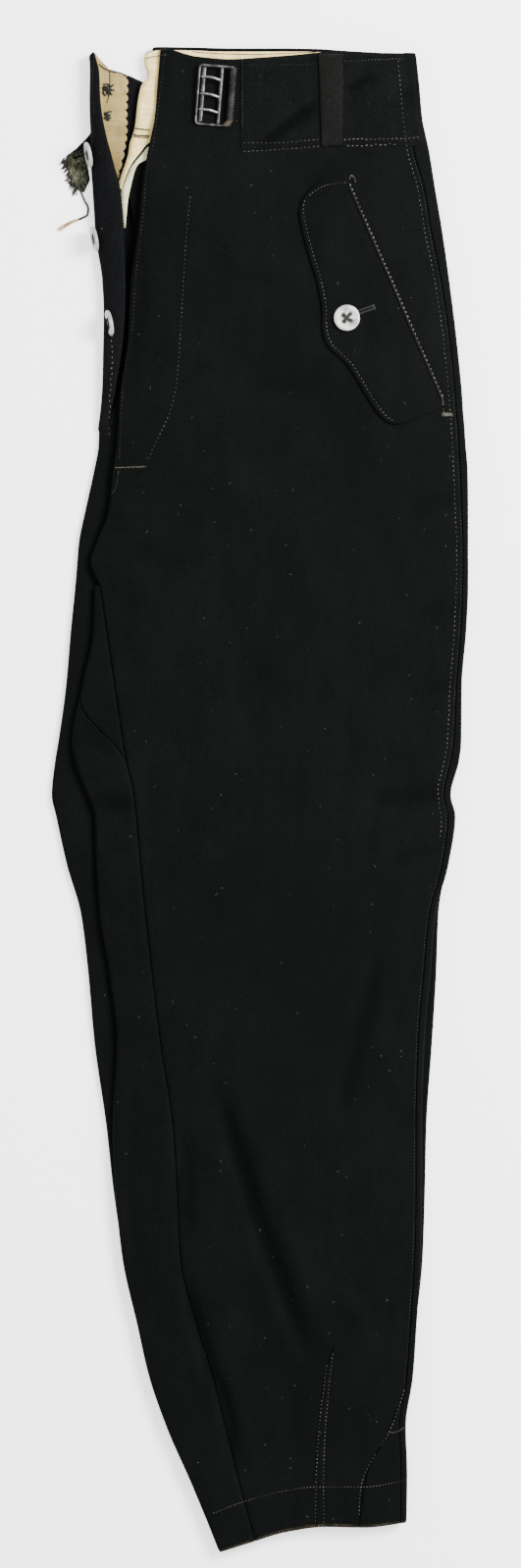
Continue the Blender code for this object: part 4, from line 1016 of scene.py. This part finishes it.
def buttonForm(turn, hole):  # a four-hole button round its own axis, in millimetres
    rings = []
    for (r0, h0), (r1, h1) in zip(profile, profile[1:]):
        count = max(1, int(math.hypot(r1 - r0, h1 - h0) / 0.34))
        inside = h0 > 1.8 and r0 < 5.5
        rings += [(r0 + (r1 - r0) * k / count, h0 + (h1 - h0) * k / count, inside) for k in range(count)]
    rings = [ring for ring in rings if ring[0] > 0.01]
    steps = hornLook["steps"]
    verts = []
    for radius, height, inside in rings:
        for k in range(steps):
            a = 2 * math.pi * k / steps
            x, y = radius * math.cos(a), radius * math.sin(a)
            dip = 0.0
            if inside:
                near = min(math.hypot(x - hx, y - hy) for hx, hy in holes)
                dip = 1.5 * (1 - float(easeStep(hole, hole + 0.35, near)))
            verts.append((x, y, height - dip))
    verts += [(0, 0, 1.9), (0, 0, 0)]
    return spun(np.array(verts), turn), tubeFaces(len(rings), steps)


def crossThread(turn):  # two bars of thread over the holes, sunk into them, in the button's own frame
    parts = []
    for first, second in ((0, 2), (1, 3)):
        for shift in (-0.5, 0.5):
            a = np.array(holes[first])
            b = np.array(holes[second])
            side = np.array((-(b - a)[1], (b - a)[0])) / np.hypot(*(b - a)) * shift
            rise = 0.2 * first
            halves = [[(*(end * 1.05 + side * 0.6), 0.9), (*(end * 0.98 + side), 2.1 + rise),
                       (*(end * 0.5 + side), 2.42 + rise)] for end in (a, b)]
            route = [*halves[0], (*side, 2.5 + rise), *reversed(halves[1])]
            parts.append(sweep(finer(route, 0.25), 0.7, 6))
    return [(spun(verts, turn), faces) for verts, faces in parts]


def setButton(name, node, base, tilt, turn, finish, hole, lean=0.0):  # tilt turns the axis to the left
    c, s = math.cos(tilt), math.sin(tilt)

    def moved(verts):
        x, y, z = verts.T
        tilted = np.column_stack([x * c - z * s, y, x * s + z * c])
        return spun(tilted, lean) * hornLook["size"] * mm + base

    verts, faces = buttonForm(turn, hole)
    joined(name, [(moved(verts), faces)], finish, [node])
    joined(name + "Thread", [(moved(v), f) for v, f in crossThread(turn)], thread["darkThread"])


flapGround = Ground([flap])
flapButtonLook = {"place": (60.9, 192.2), "turn": 0.12, "hole": 1.35, "lift": 0.15}
around = np.array([(x, y) for x in (-6, 0, 6) for y in (-6, 0, 6)]) + flapButtonLook["place"]
seat = flapGround.heights(around[:, 0], around[:, 1]).max()
setButton("flapButton", "flap_button", world(*flapButtonLook["place"], seat + flapButtonLook["lift"]), 0.0,
          flapButtonLook["turn"], horn, flapButtonLook["hole"])
flyLook = {"tilt": math.radians(80), "lean": math.radians(11), "hole": 0.75,
           "shifts": {1: (0, 0, 0), 2: (-1.0, 0, 0.6), 3: (4.8, 0, 2.0)}}
flyAxis = np.array((-math.sin(flyLook["tilt"]), 0, math.cos(flyLook["tilt"])))
for number, shift in flyLook["shifts"].items():
    low, high = (np.array(corner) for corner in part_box(f"fly_button_{number}"))
    place = (low + high) / 2 - flyAxis * 1.5 * mm + np.array(shift) * mm
    setButton(f"flyButton{number}", f"fly_button_{number}", place, flyLook["tilt"], 0.3 * number, shadedHorn,
              flyLook["hole"], flyLook["lean"])
print("buckle and buttons made")

# Sewing: rows of single stitches on the made surfaces, through pixels of the photograph
threadLook = {"pitch": 2.4, "length": 1.15, "width": 0.36, "rise": 0.06, "step": 1.2}
beadRings = ((0.0, 0.35), (0.25, 0.85), (0.5, 1.0), (0.75, 0.85), (1.0, 0.35))
everyGround = Ground([leftFront, leftBack, rightBack, forkPiece, anklePiece, waistStrap, beltLoop, flap, tuck,
                      stand, facing, lining, pocketCloth])
chance = np.random.default_rng(11)


def bead(start, end, width, normal):  # one short stitch between two places in metres
    points = []
    for share, size in beadRings:
        lift = normal * math.sin(math.pi * share) * width * 0.45 * mm
        points.append(start + (end - start) * share + lift)
    return sweep(points, [width / 2 * size * mm for share, size in beadRings], 6)


def stitchRow(line, pitch=threadLook["pitch"], length=threadLook["length"], width=threadLook["width"],
              zigzag=0.0, loose=0.06, fromPixels=True):
    route = smoothRoute(fromPhoto(line) if fromPixels else line, pitch)
    parts = []
    for number, (here, there) in enumerate(zip(route, route[1:])):
        run = (there - here) / max(np.hypot(*(there - here)), 1e-6)
        side = np.array((-run[1], run[0]))
        wander = side * chance.normal(0, loose)
        turn = zigzag if number % 2 else -zigzag
        first = here + wander - side * turn
        last = here + run * length * chance.uniform(0.88, 1.08) + wander + side * turn
        places = [everyGround.hit(*first), everyGround.hit(*last)]
        if None in places or abs(places[0][0].z - places[1][0].z) > threadLook["step"] * mm:
            continue
        ends = [np.array(point) + np.array(normal) * threadLook["rise"] * mm for point, normal in places]
        parts.append(bead(ends[0], ends[1], width, np.array(places[0][1])))
    return parts


def beside(name, shift, start, end, step=12.0):  # a line beside a column of the section table
    rows = np.arange(start, end + 0.1, step)
    across = edge[name](rows) + shift
    return np.column_stack([across, slanted(rows, across, frontWaist)])


def flapLine(inside, start, end, count=60):  # a line inside the free edge of the flap
    along = np.linspace(start, end, count)
    return flapPoint(along, reader(flapWidths)(along) - inside)


flyStitch = ((168, 56), (166, 76), (162, 106), (155, 155), (149, 182), (147, 210), (143, 246), (138, 290),
             (135, 340), (130, 364), (126, 390), (123, 440), (122, 470))
jayStitch = ((194, 202), (190, 245), (187, 290), (184, 345), (180, 391), (176, 412), (168, 434), (161, 448),
             (150, 471))
tuckStitch = {"pitch": 2.7, "length": 1.1, "width": 0.55}
faintRows = (
    stitchRow(beside("sideSeam", -1.2, 60, 950), fromPixels=False)
    + stitchRow(flyStitch, pitch=2.8, length=1.3, width=0.42)
    + stitchRow(((250, 68), (298, 67.6), (322, 66.5)), loose=0.2)
    + stitchRow(((247, 62), (247, 104), (247, 140)), zigzag=0.7, pitch=1.5, length=0.9)
    + stitchRow(((240, 66), (239, 100), (238, 128)), loose=0.12)
    + stitchRow(((96, 60), (95, 90), (97, 120)), width=0.3)
)
joined("faintStitches", faintRows, thread["faintThread"])
tanRows = (
    stitchRow(jayStitch, pitch=3.1, length=1.1, width=0.4, loose=0.12)
    + stitchRow(beside("sideSeam", -4.6, 6, 560), fromPixels=False, loose=0.12, pitch=3.3, length=1.3,
                width=0.5)
    + stitchRow(((248, 147.3), (290, 147), (327, 143.5)), loose=0.12, pitch=3.0, length=1.5)
    + stitchRow(((248, 156), (290, 153.5), (327, 150.5)), loose=0.12, pitch=3.0, length=1.7)
    + stitchRow(((350, 144), (380, 143.4), (413, 143), (433, 140.5)), loose=0.2, pitch=3.0, length=1.7,
                width=0.62)
    + stitchRow(((353, 150.2), (380, 149.5), (405, 148)), loose=0.25, pitch=3.0, length=1.7, width=0.7)
    + stitchRow(((350, 64), (380, 62.5), (413, 61)), loose=0.15)
    + stitchRow(flapLine(flapLook["stitchIn"], 3.2, 169, 80), fromPixels=False, pitch=2.8, length=1.3,
                width=0.48)
    + stitchRow([flapPoint(np.array(3.0), np.array(out)) for out in np.linspace(3, 31, 16)], fromPixels=False)
    + stitchRow(((333, 1390), (327.6, 1431), (324, 1470), (322, 1514), (321.5, 1552)), **tuckStitch)
    + stitchRow(((338.8, 1378), (334.6, 1417), (331, 1458.7), (329.6, 1514), (329.6, 1553)), **tuckStitch)
    + stitchRow(((217, 1541), (248, 1529), (262, 1525), (290, 1518), (320, 1514), (370, 1514), (411, 1508)),
                pitch=2.2)
    + stitchRow(((394.5, 1459), (404, 1458), (414, 1452)), pitch=1.5, length=1.4)
    + stitchRow(((414, 1408), (405, 1436), (396.5, 1457), (381, 1483), (368.5, 1510), (366, 1535),
                 (366, 1553)), pitch=2.7, length=1.3, width=0.5)
    + stitchRow(((121, 481), (120, 490), (117, 500), (114, 504)), pitch=1.7)
)
joined("tanStitches", tanRows, thread["tanThread"])
sewnEdge = [tuple(flapPoint(np.array(a), np.array(0.6))) for a in np.linspace(4, 168, 30)]
flapShadow = [tuple(flapPoint(np.array(a), np.array(1.9))) for a in np.linspace(6, 168, 30)]
barTacks = []
for x in np.arange(116, 149, 1.9):
    ends = ((x, 475.6 + 0.03 * (149 - x)), (x + 1.4, 477.4 + 0.02 * (149 - x)))
    barTacks += stitchRow(ends, pitch=1.5, length=1.2)
for x in np.arange(450, 461, 1.1):
    barTacks += stitchRow(((x, 421), (x + 1.0, 427)), pitch=3.4, length=3.0, width=0.4)
paleRows = (
    stitchRow(sewnEdge, fromPixels=False, pitch=3.3, length=1.5, width=0.75)
    + stitchRow(((115, 342), (114.2, 365), (113.4, 388), (111.6, 425), (111, 447)), pitch=3.8, length=1.3,
                width=0.42, loose=0.4)
    + stitchRow(((356, 184), (358, 180), (361, 183), (362, 188)), pitch=1.2, length=1.1, width=0.5)
    + stitchRow(((450, 402), (451, 412), (452, 422)), pitch=1.6, width=0.45)
    + barTacks
)
joined("flapShadow", stitchRow(flapShadow, fromPixels=False, pitch=1.0, length=1.1, width=1.6),
       thread["shadowThread"])
joined("paleStitches", paleRows, thread["wornThread"])
liningRowsSewn = (
    stitchRow(((196, 53.6), (225, 55.8), (259, 56.4), (297, 55.2), (324, 54)), pitch=1.0, width=0.6)
    + stitchRow(((138, 131.6), (145, 132.6), (152.5, 133.2)), pitch=1.0, width=1.0)
    + stitchRow(((136.8, 138.2), (144, 139.2), (152, 139.4)), pitch=1.0, width=1.1)
    + stitchRow(((136.4, 140.2), (144, 141.0), (151.8, 141.2)), pitch=1.0, width=0.8)
    + stitchRow(((147.6, 56), (154, 53.6), (162, 52), (170, 51.6)), pitch=1.0, width=0.6)
    + stitchRow(((147, 61), (155, 59), (162, 58), (170, 57.6)), pitch=1.0, width=0.6)
    + stitchRow(((151, 147.5), (146, 156), (139, 164), (133.6, 170), (129, 181), (125.5, 192)), pitch=1.1,
                width=0.4)
)
joined("liningStitches", liningRowsSewn, thread["greyThread"])
facingRows = (
    stitchRow(((112, 73), (112, 86), (111, 98), (109, 106)), pitch=1.6, length=1.5, width=0.85)
    + stitchRow(((101, 66), (107, 70.4), (113, 73), (121, 74.5), (131, 79)), pitch=1.2, length=1.3,
                width=0.95)
)
joined("facingStitches", facingRows, thread["darkThread"])


def threadKnot(name, centre, spreadAcross, spreadDown, count):  # a plain tangle of thread
    middle = fromPhoto(centre)
    parts = []
    for number in range(count):
        a = middle + np.array((chance.uniform(-1, 1) * spreadAcross, chance.uniform(-1, 1) * spreadDown))
        heading = chance.uniform(-0.5, 0.9)
        reach = chance.uniform(1.5, 3.4)
        b = a + reach * np.array((math.cos(heading), math.sin(heading)))
        route = []
        for t in np.linspace(0, 1, 6):
            curl = np.array((0.3 * math.sin(5 * t + number), 0.3 * math.cos(4 * t + number)))
            found = everyGround.hit(*(a + (b - a) * t + curl))
            if found:
                route.append(np.array(found[0]) + np.array((0, 0, (0.2 + 0.5 * math.sin(math.pi * t)) * mm)))
        if len(route) > 3:
            parts.append(sweep(route, 0.55 * mm, 5))
    joined(name, parts, thread["darkThread"])


threadKnot("threadKnotUpper", (108, 91), 2.8, 3.9, 26)
threadKnot("threadKnotLower", (108, 118.5), 1.3, 3.3, 16)

# Buttonhole beside the flap button, worked over with thread
holeStart = fromPhoto((366, 319.5))
holeEnd = fromPhoto((380, 314.5))
holeRun = (holeEnd - holeStart) / np.hypot(*(holeEnd - holeStart))
holeSide = np.array((-holeRun[1], holeRun[0]))
parts = []


def holeStitch(middle, way, low, high, lift, width):  # one stitch across the edge of the hole
    ends = [everyGround.hit(*(middle + way * reach)) for reach in (low, high)]
    if None not in ends:
        normal = np.array(ends[0][1])
        parts.append(bead(*[np.array(point) + normal * lift * mm for point, other in ends], width, normal))


for side in (-1, 1):
    for t in np.linspace(0, 1, 22):
        middle = holeStart + (holeEnd - holeStart) * t + holeSide * side * 1.1
        holeStitch(middle, holeSide * side, -0.75, 0.75, 0.12, 0.42)
for t in np.linspace(-1, 1, 8):
    holeStitch(holeEnd + holeSide * t * 1.6, holeRun, -0.4, 1.4, 0.15, 0.5)
joined("buttonhole", parts, thread["holeThread"])

# Brown raw edge of the hem
hemParts = []
hemPixels = ((224, 1581), (254, 1571), (293, 1559), (332, 1554), (371, 1555), (414, 1550))
for share in np.arange(0.012, 0.99, 0.0105):
    x = 224 + (414 - 224) * share
    y = float(reader(hemPixels)(x))
    found = everyGround.hit(*fromPhoto((x, y - 2.2)))
    if found:
        start = np.array(found[0]) + np.array((0, 0, 0.1 * mm))
        lean = chance.normal(0, 0.35)
        end = start + np.array((lean * mm, -1.5 * mm, -0.9 * mm))
        middle = start * 0.45 + end * 0.55 + np.array((0, 0, 0.35 * mm))
        hemParts.append(sweep([start, middle, end], 0.2 * mm, 5))
joined("hemOvercast", hemParts, thread["brownThread"])
print("sewing made")

# Torn end of the right strap and its frayed threads
tornEdge = ((-116.6, 57.6), (-122, 64.6), (-128.4, 71.2), (-131.6, 74.8), (-132.4, 77.5))
tornFoot = ((-117.4, 75.2), (-121, 76.8), (-125, 78.2), (-129, 79.6), (-131.4, 80.4))
rows = np.linspace(0, 1, 26)
upper, lower = [np.stack([np.interp(rows, np.linspace(0, 1, len(line)), line[:, k]) for k in (0, 1)], -1)
                for line in (smoothRoute(tornEdge, 0.8), smoothRoute(tornFoot, 0.8))]
across, down = [upper[:, None, k] + (lower - upper)[:, None, k] * np.linspace(0, 1, 16)[None, :]
                for k in (0, 1)]
lift = 1.7 + 0.5 * np.sin(across / 2.3 + down / 3.1) + 0.3 * np.sin(down / 1.7)
wall("rightStrapEnd", world(across, down, lift + 0.2), world(across, down, np.full(across.shape, 0.15)),
     strapWool, ["right_strap"])


def frayRoute(start, heading, length, height, curl, phase):
    route = []
    place = np.array(start, float)
    for step in range(12):
        t = step / 11
        turn = heading + curl * math.sin(2.6 * t * math.pi + phase)
        place = place + length / 11 * np.array((math.cos(turn), math.sin(turn)))
        rise = height * (1 - t) ** 1.3 + 0.35 + 0.4 * abs(math.sin(3 * t + phase))
        route.append(world(place[0], place[1], rise))
    return route


frayLook = {"strands": 230, "pale": 105, "thickness": 0.3}
frayOutline = np.array(((-136, 77), (-130, 72.5), (-124, 73), (-121, 85), (-119.5, 94), (-123.6, 103),
                        (-127, 102), (-130, 100), (-133, 95), (-134.5, 88), (-137.5, 81)))


def insideFray(place):
    following = np.roll(frayOutline, -1, axis=0)
    above = (frayOutline[:, 1] > place[1]) != (following[:, 1] > place[1])
    slope = (place[1] - frayOutline[:, 1]) / np.where(above, following[:, 1] - frayOutline[:, 1], 1)
    crossing = frayOutline[:, 0] + slope * (following[:, 0] - frayOutline[:, 0])
    return np.count_nonzero(above & (place[0] < crossing)) % 2 == 1


darkParts = []
paleParts = []
while len(darkParts) + len(paleParts) < frayLook["strands"]:
    place = np.array((chance.uniform(-137, -119), chance.uniform(73, 103)))
    if not insideFray(place):
        continue
    heading = math.radians(chance.normal(105, 42))
    route = frayRoute(place, heading, chance.uniform(4, 8), chance.uniform(0.3, 2.8),
                      chance.uniform(0.4, 1.6), chance.uniform(0, 6))
    shown = [point for point in route
             if insideFray((point[0] / mm + middleAcross, middleDown - point[1] / mm))]
    if len(shown) < 5:
        continue
    radii = np.linspace(1.0, 0.6, len(shown)) * frayLook["thickness"] * chance.uniform(0.8, 1.3) * mm
    inMiddle = abs(place[0] + 127) < 5.5 and 78 < place[1] < 97
    chosen = paleParts if inMiddle and len(paleParts) < frayLook["pale"] else darkParts
    chosen.append(sweep(shown, radii, 5))
teeth = []
for number in range(16):  # the jagged lower edge
    t = number / 15
    start = np.array((-137.2, 79.5)) * (1 - t) + np.array((-128.5, 100.5)) * t
    for tooth in range(3):
        heading = math.radians(138 - 34 * t + chance.normal(0, 13))
        reach = chance.uniform(2.8, 4.6) + 1.8 * t
        route = frayRoute(start + chance.normal(0, 0.4, 2), heading, reach, 1.0, 0.2, tooth)
        teeth.append(sweep(route, np.linspace(0.62, 0.34, 12) * mm, 4))
bed = np.array([frayOutline * (1 - share) + frayOutline.mean(0) * share for share in (0.0, 0.25, 0.6, 0.95)])
bedUp = np.array([0.4, 1.5, 2.0, 2.2])[:, None] + 0.25 * np.sin(3 * bed[..., 0]) * np.sin(2.3 * bed[..., 1])
bedTop = world(bed[..., 0], bed[..., 1], bedUp).reshape(-1, 3)
bedLow = world(bed[..., 0], bed[..., 1], 0.15 + 0 * bedUp).reshape(-1, 3)
count = len(frayOutline)
bedFaces = ringFaces(4, count) + [tuple(range(3 * count, 4 * count))]
under = [tuple(corner + 4 * count for corner in face[::-1]) for face in bedFaces]
rim = [(step, step + 4 * count, (step + 1) % count + 4 * count, (step + 1) % count) for step in range(count)]
darkParts.append((np.concatenate([bedTop, bedLow]), bedFaces + under + rim))
joined("frayedEnd", darkParts, thread["frayThread"], ["strap_fringe"])
joined("frayedTeeth", teeth, thread["toothThread"])
joined("frayedPaleThreads", paleParts, thread["paleFray"])
tail = smoothRoute(((-126.3, 101.5), (-123.5, 108.3), (-120.8, 114.5), (-121.4, 118.7), (-124.9, 120.8),
                    (-133.2, 124.2), (-141.4, 129)), 0.7)
rise = 0.45 + 0.25 * np.sin(np.linspace(0, 9, len(tail)))
split = int(len(tail) * 0.62)
for name, part, radii, finish in (
        ("looseThreadDark", slice(0, split + 1), (0.75, 0.85), "duskyThread"),
        ("looseThreadPale", slice(split, None), (0.85, 1.6), "looseThread")):
    route = world(tail[part, 0], tail[part, 1], rise[part])
    joined(name, [sweep(route, np.linspace(*radii, len(route)) * mm, 8)], thread[finish])

# Lint and short hairs on the wool
lintLook = {"fibres": 85, "width": 0.07, "speck": 1.5, "speckWidth": 2.6}
lintParts = []
specks = ((186, 74), (168, 57), (104, 234), (202, 1489), (270, 1471), (250, 1497), (296, 1485), (296, 1495),
          (313, 1544), (396, 1527), (394, 1324), (270, 1362))
placed = [(pixel, lintLook["speck"]) for pixel in specks]
for number in range(lintLook["fibres"]):
    down = chance.uniform(12, 1020)
    across = chance.uniform(float(edge["upperFront"](down)) + 4, float(edge["sideSeam"](down)) - 4)
    pixel = (across / photoScale + photoOrigin[0], down / photoScale + photoOrigin[1])
    placed.append((pixel, chance.uniform(0.4, 2.6)))
for centre, size in placed:
    middle = fromPhoto(centre)
    heading = chance.uniform(0, math.pi)
    bend = chance.uniform(-1.2, 1.2)
    route = []
    for t in np.linspace(-0.5, 0.5, 7):
        turn = heading + bend * t
        found = everyGround.hit(*(middle + size * t * np.array((math.cos(turn), math.sin(turn)))))
        if found:
            route.append(np.array(found[0]) + np.array(found[1]) * 0.12 * mm)
    if len(route) == 7:
        thick = lintLook["width"] * (lintLook["speckWidth"] if size == lintLook["speck"] else 1)
        lintParts.append(sweep(route, thick * mm, 4))
joined("lint", lintParts, thread["lintFibre"])
print("threads made")

# The right front is shown as the CAD node itself
shownSlot = frame["nodes"]["right_front"].material_slots[0]
shownSlot.link = "OBJECT"
shownSlot.material = wool

# Camera, floor and light
view = {"distance": 6.0, "height": photoHeight * photoScale * mm, "middle": (0.0003, 0.0109)}
light = {"world": 1.45, "key": 210, "fill": 8}
floorLook = {"colour": (0.95, 0.952, 0.955), "glow": 1.25, "half": 4, "down": -0.0003}
camera = objects.new("camera", bpy.data.cameras.new("camera"))
camera.data.lens = 36 * view["distance"] / view["height"]
camera.data.clip_end = 50
camera.location = (*view["middle"], view["distance"])
bpy.context.collection.objects.link(camera)
bpy.context.scene.camera = camera
floorMesh = bpy.data.meshes.new("floor")
corners = [(x * floorLook["half"], y * floorLook["half"], floorLook["down"])
           for x, y in ((-1, -1), (1, -1), (1, 1), (-1, 1))]
floorMesh.from_pydata(corners, [], [(0, 1, 2, 3)])
floor = objects.new("floor", floorMesh)
bpy.context.collection.objects.link(floor)
floorShade = Shade("paleFloor", None, Roughness=0.9, Specular_IOR_Level=0.1)
floorShade.set("Base Color", floorLook["colour"])
floorShade.set("Emission Color", floorLook["colour"])
floorShade.set("Emission Strength", floorLook["glow"])
floorMesh.materials.append(floorShade.material)


def addLight(name, place, size, power):
    lamp = bpy.data.lights.new(name, "AREA")
    lamp.energy = power
    lamp.size = size
    made = objects.new(name, lamp)
    made.location = place
    made.rotation_euler = (-Vector(place)).to_track_quat("-Z", "Y").to_euler()
    bpy.context.collection.objects.link(made)


addLight("keyLight", (1.6, 1.0, 1.9), 1.1, light["key"])
addLight("fillLight", (-1.8, -0.8, 2.0), 2.2, light["fill"])
sky = bpy.data.worlds.new("sky")
sky.use_nodes = True
sky.node_tree.nodes["Background"].inputs["Color"].default_value = (1, 1, 1, 1)
sky.node_tree.nodes["Background"].inputs["Strength"].default_value = light["world"]
bpy.context.scene.world = sky
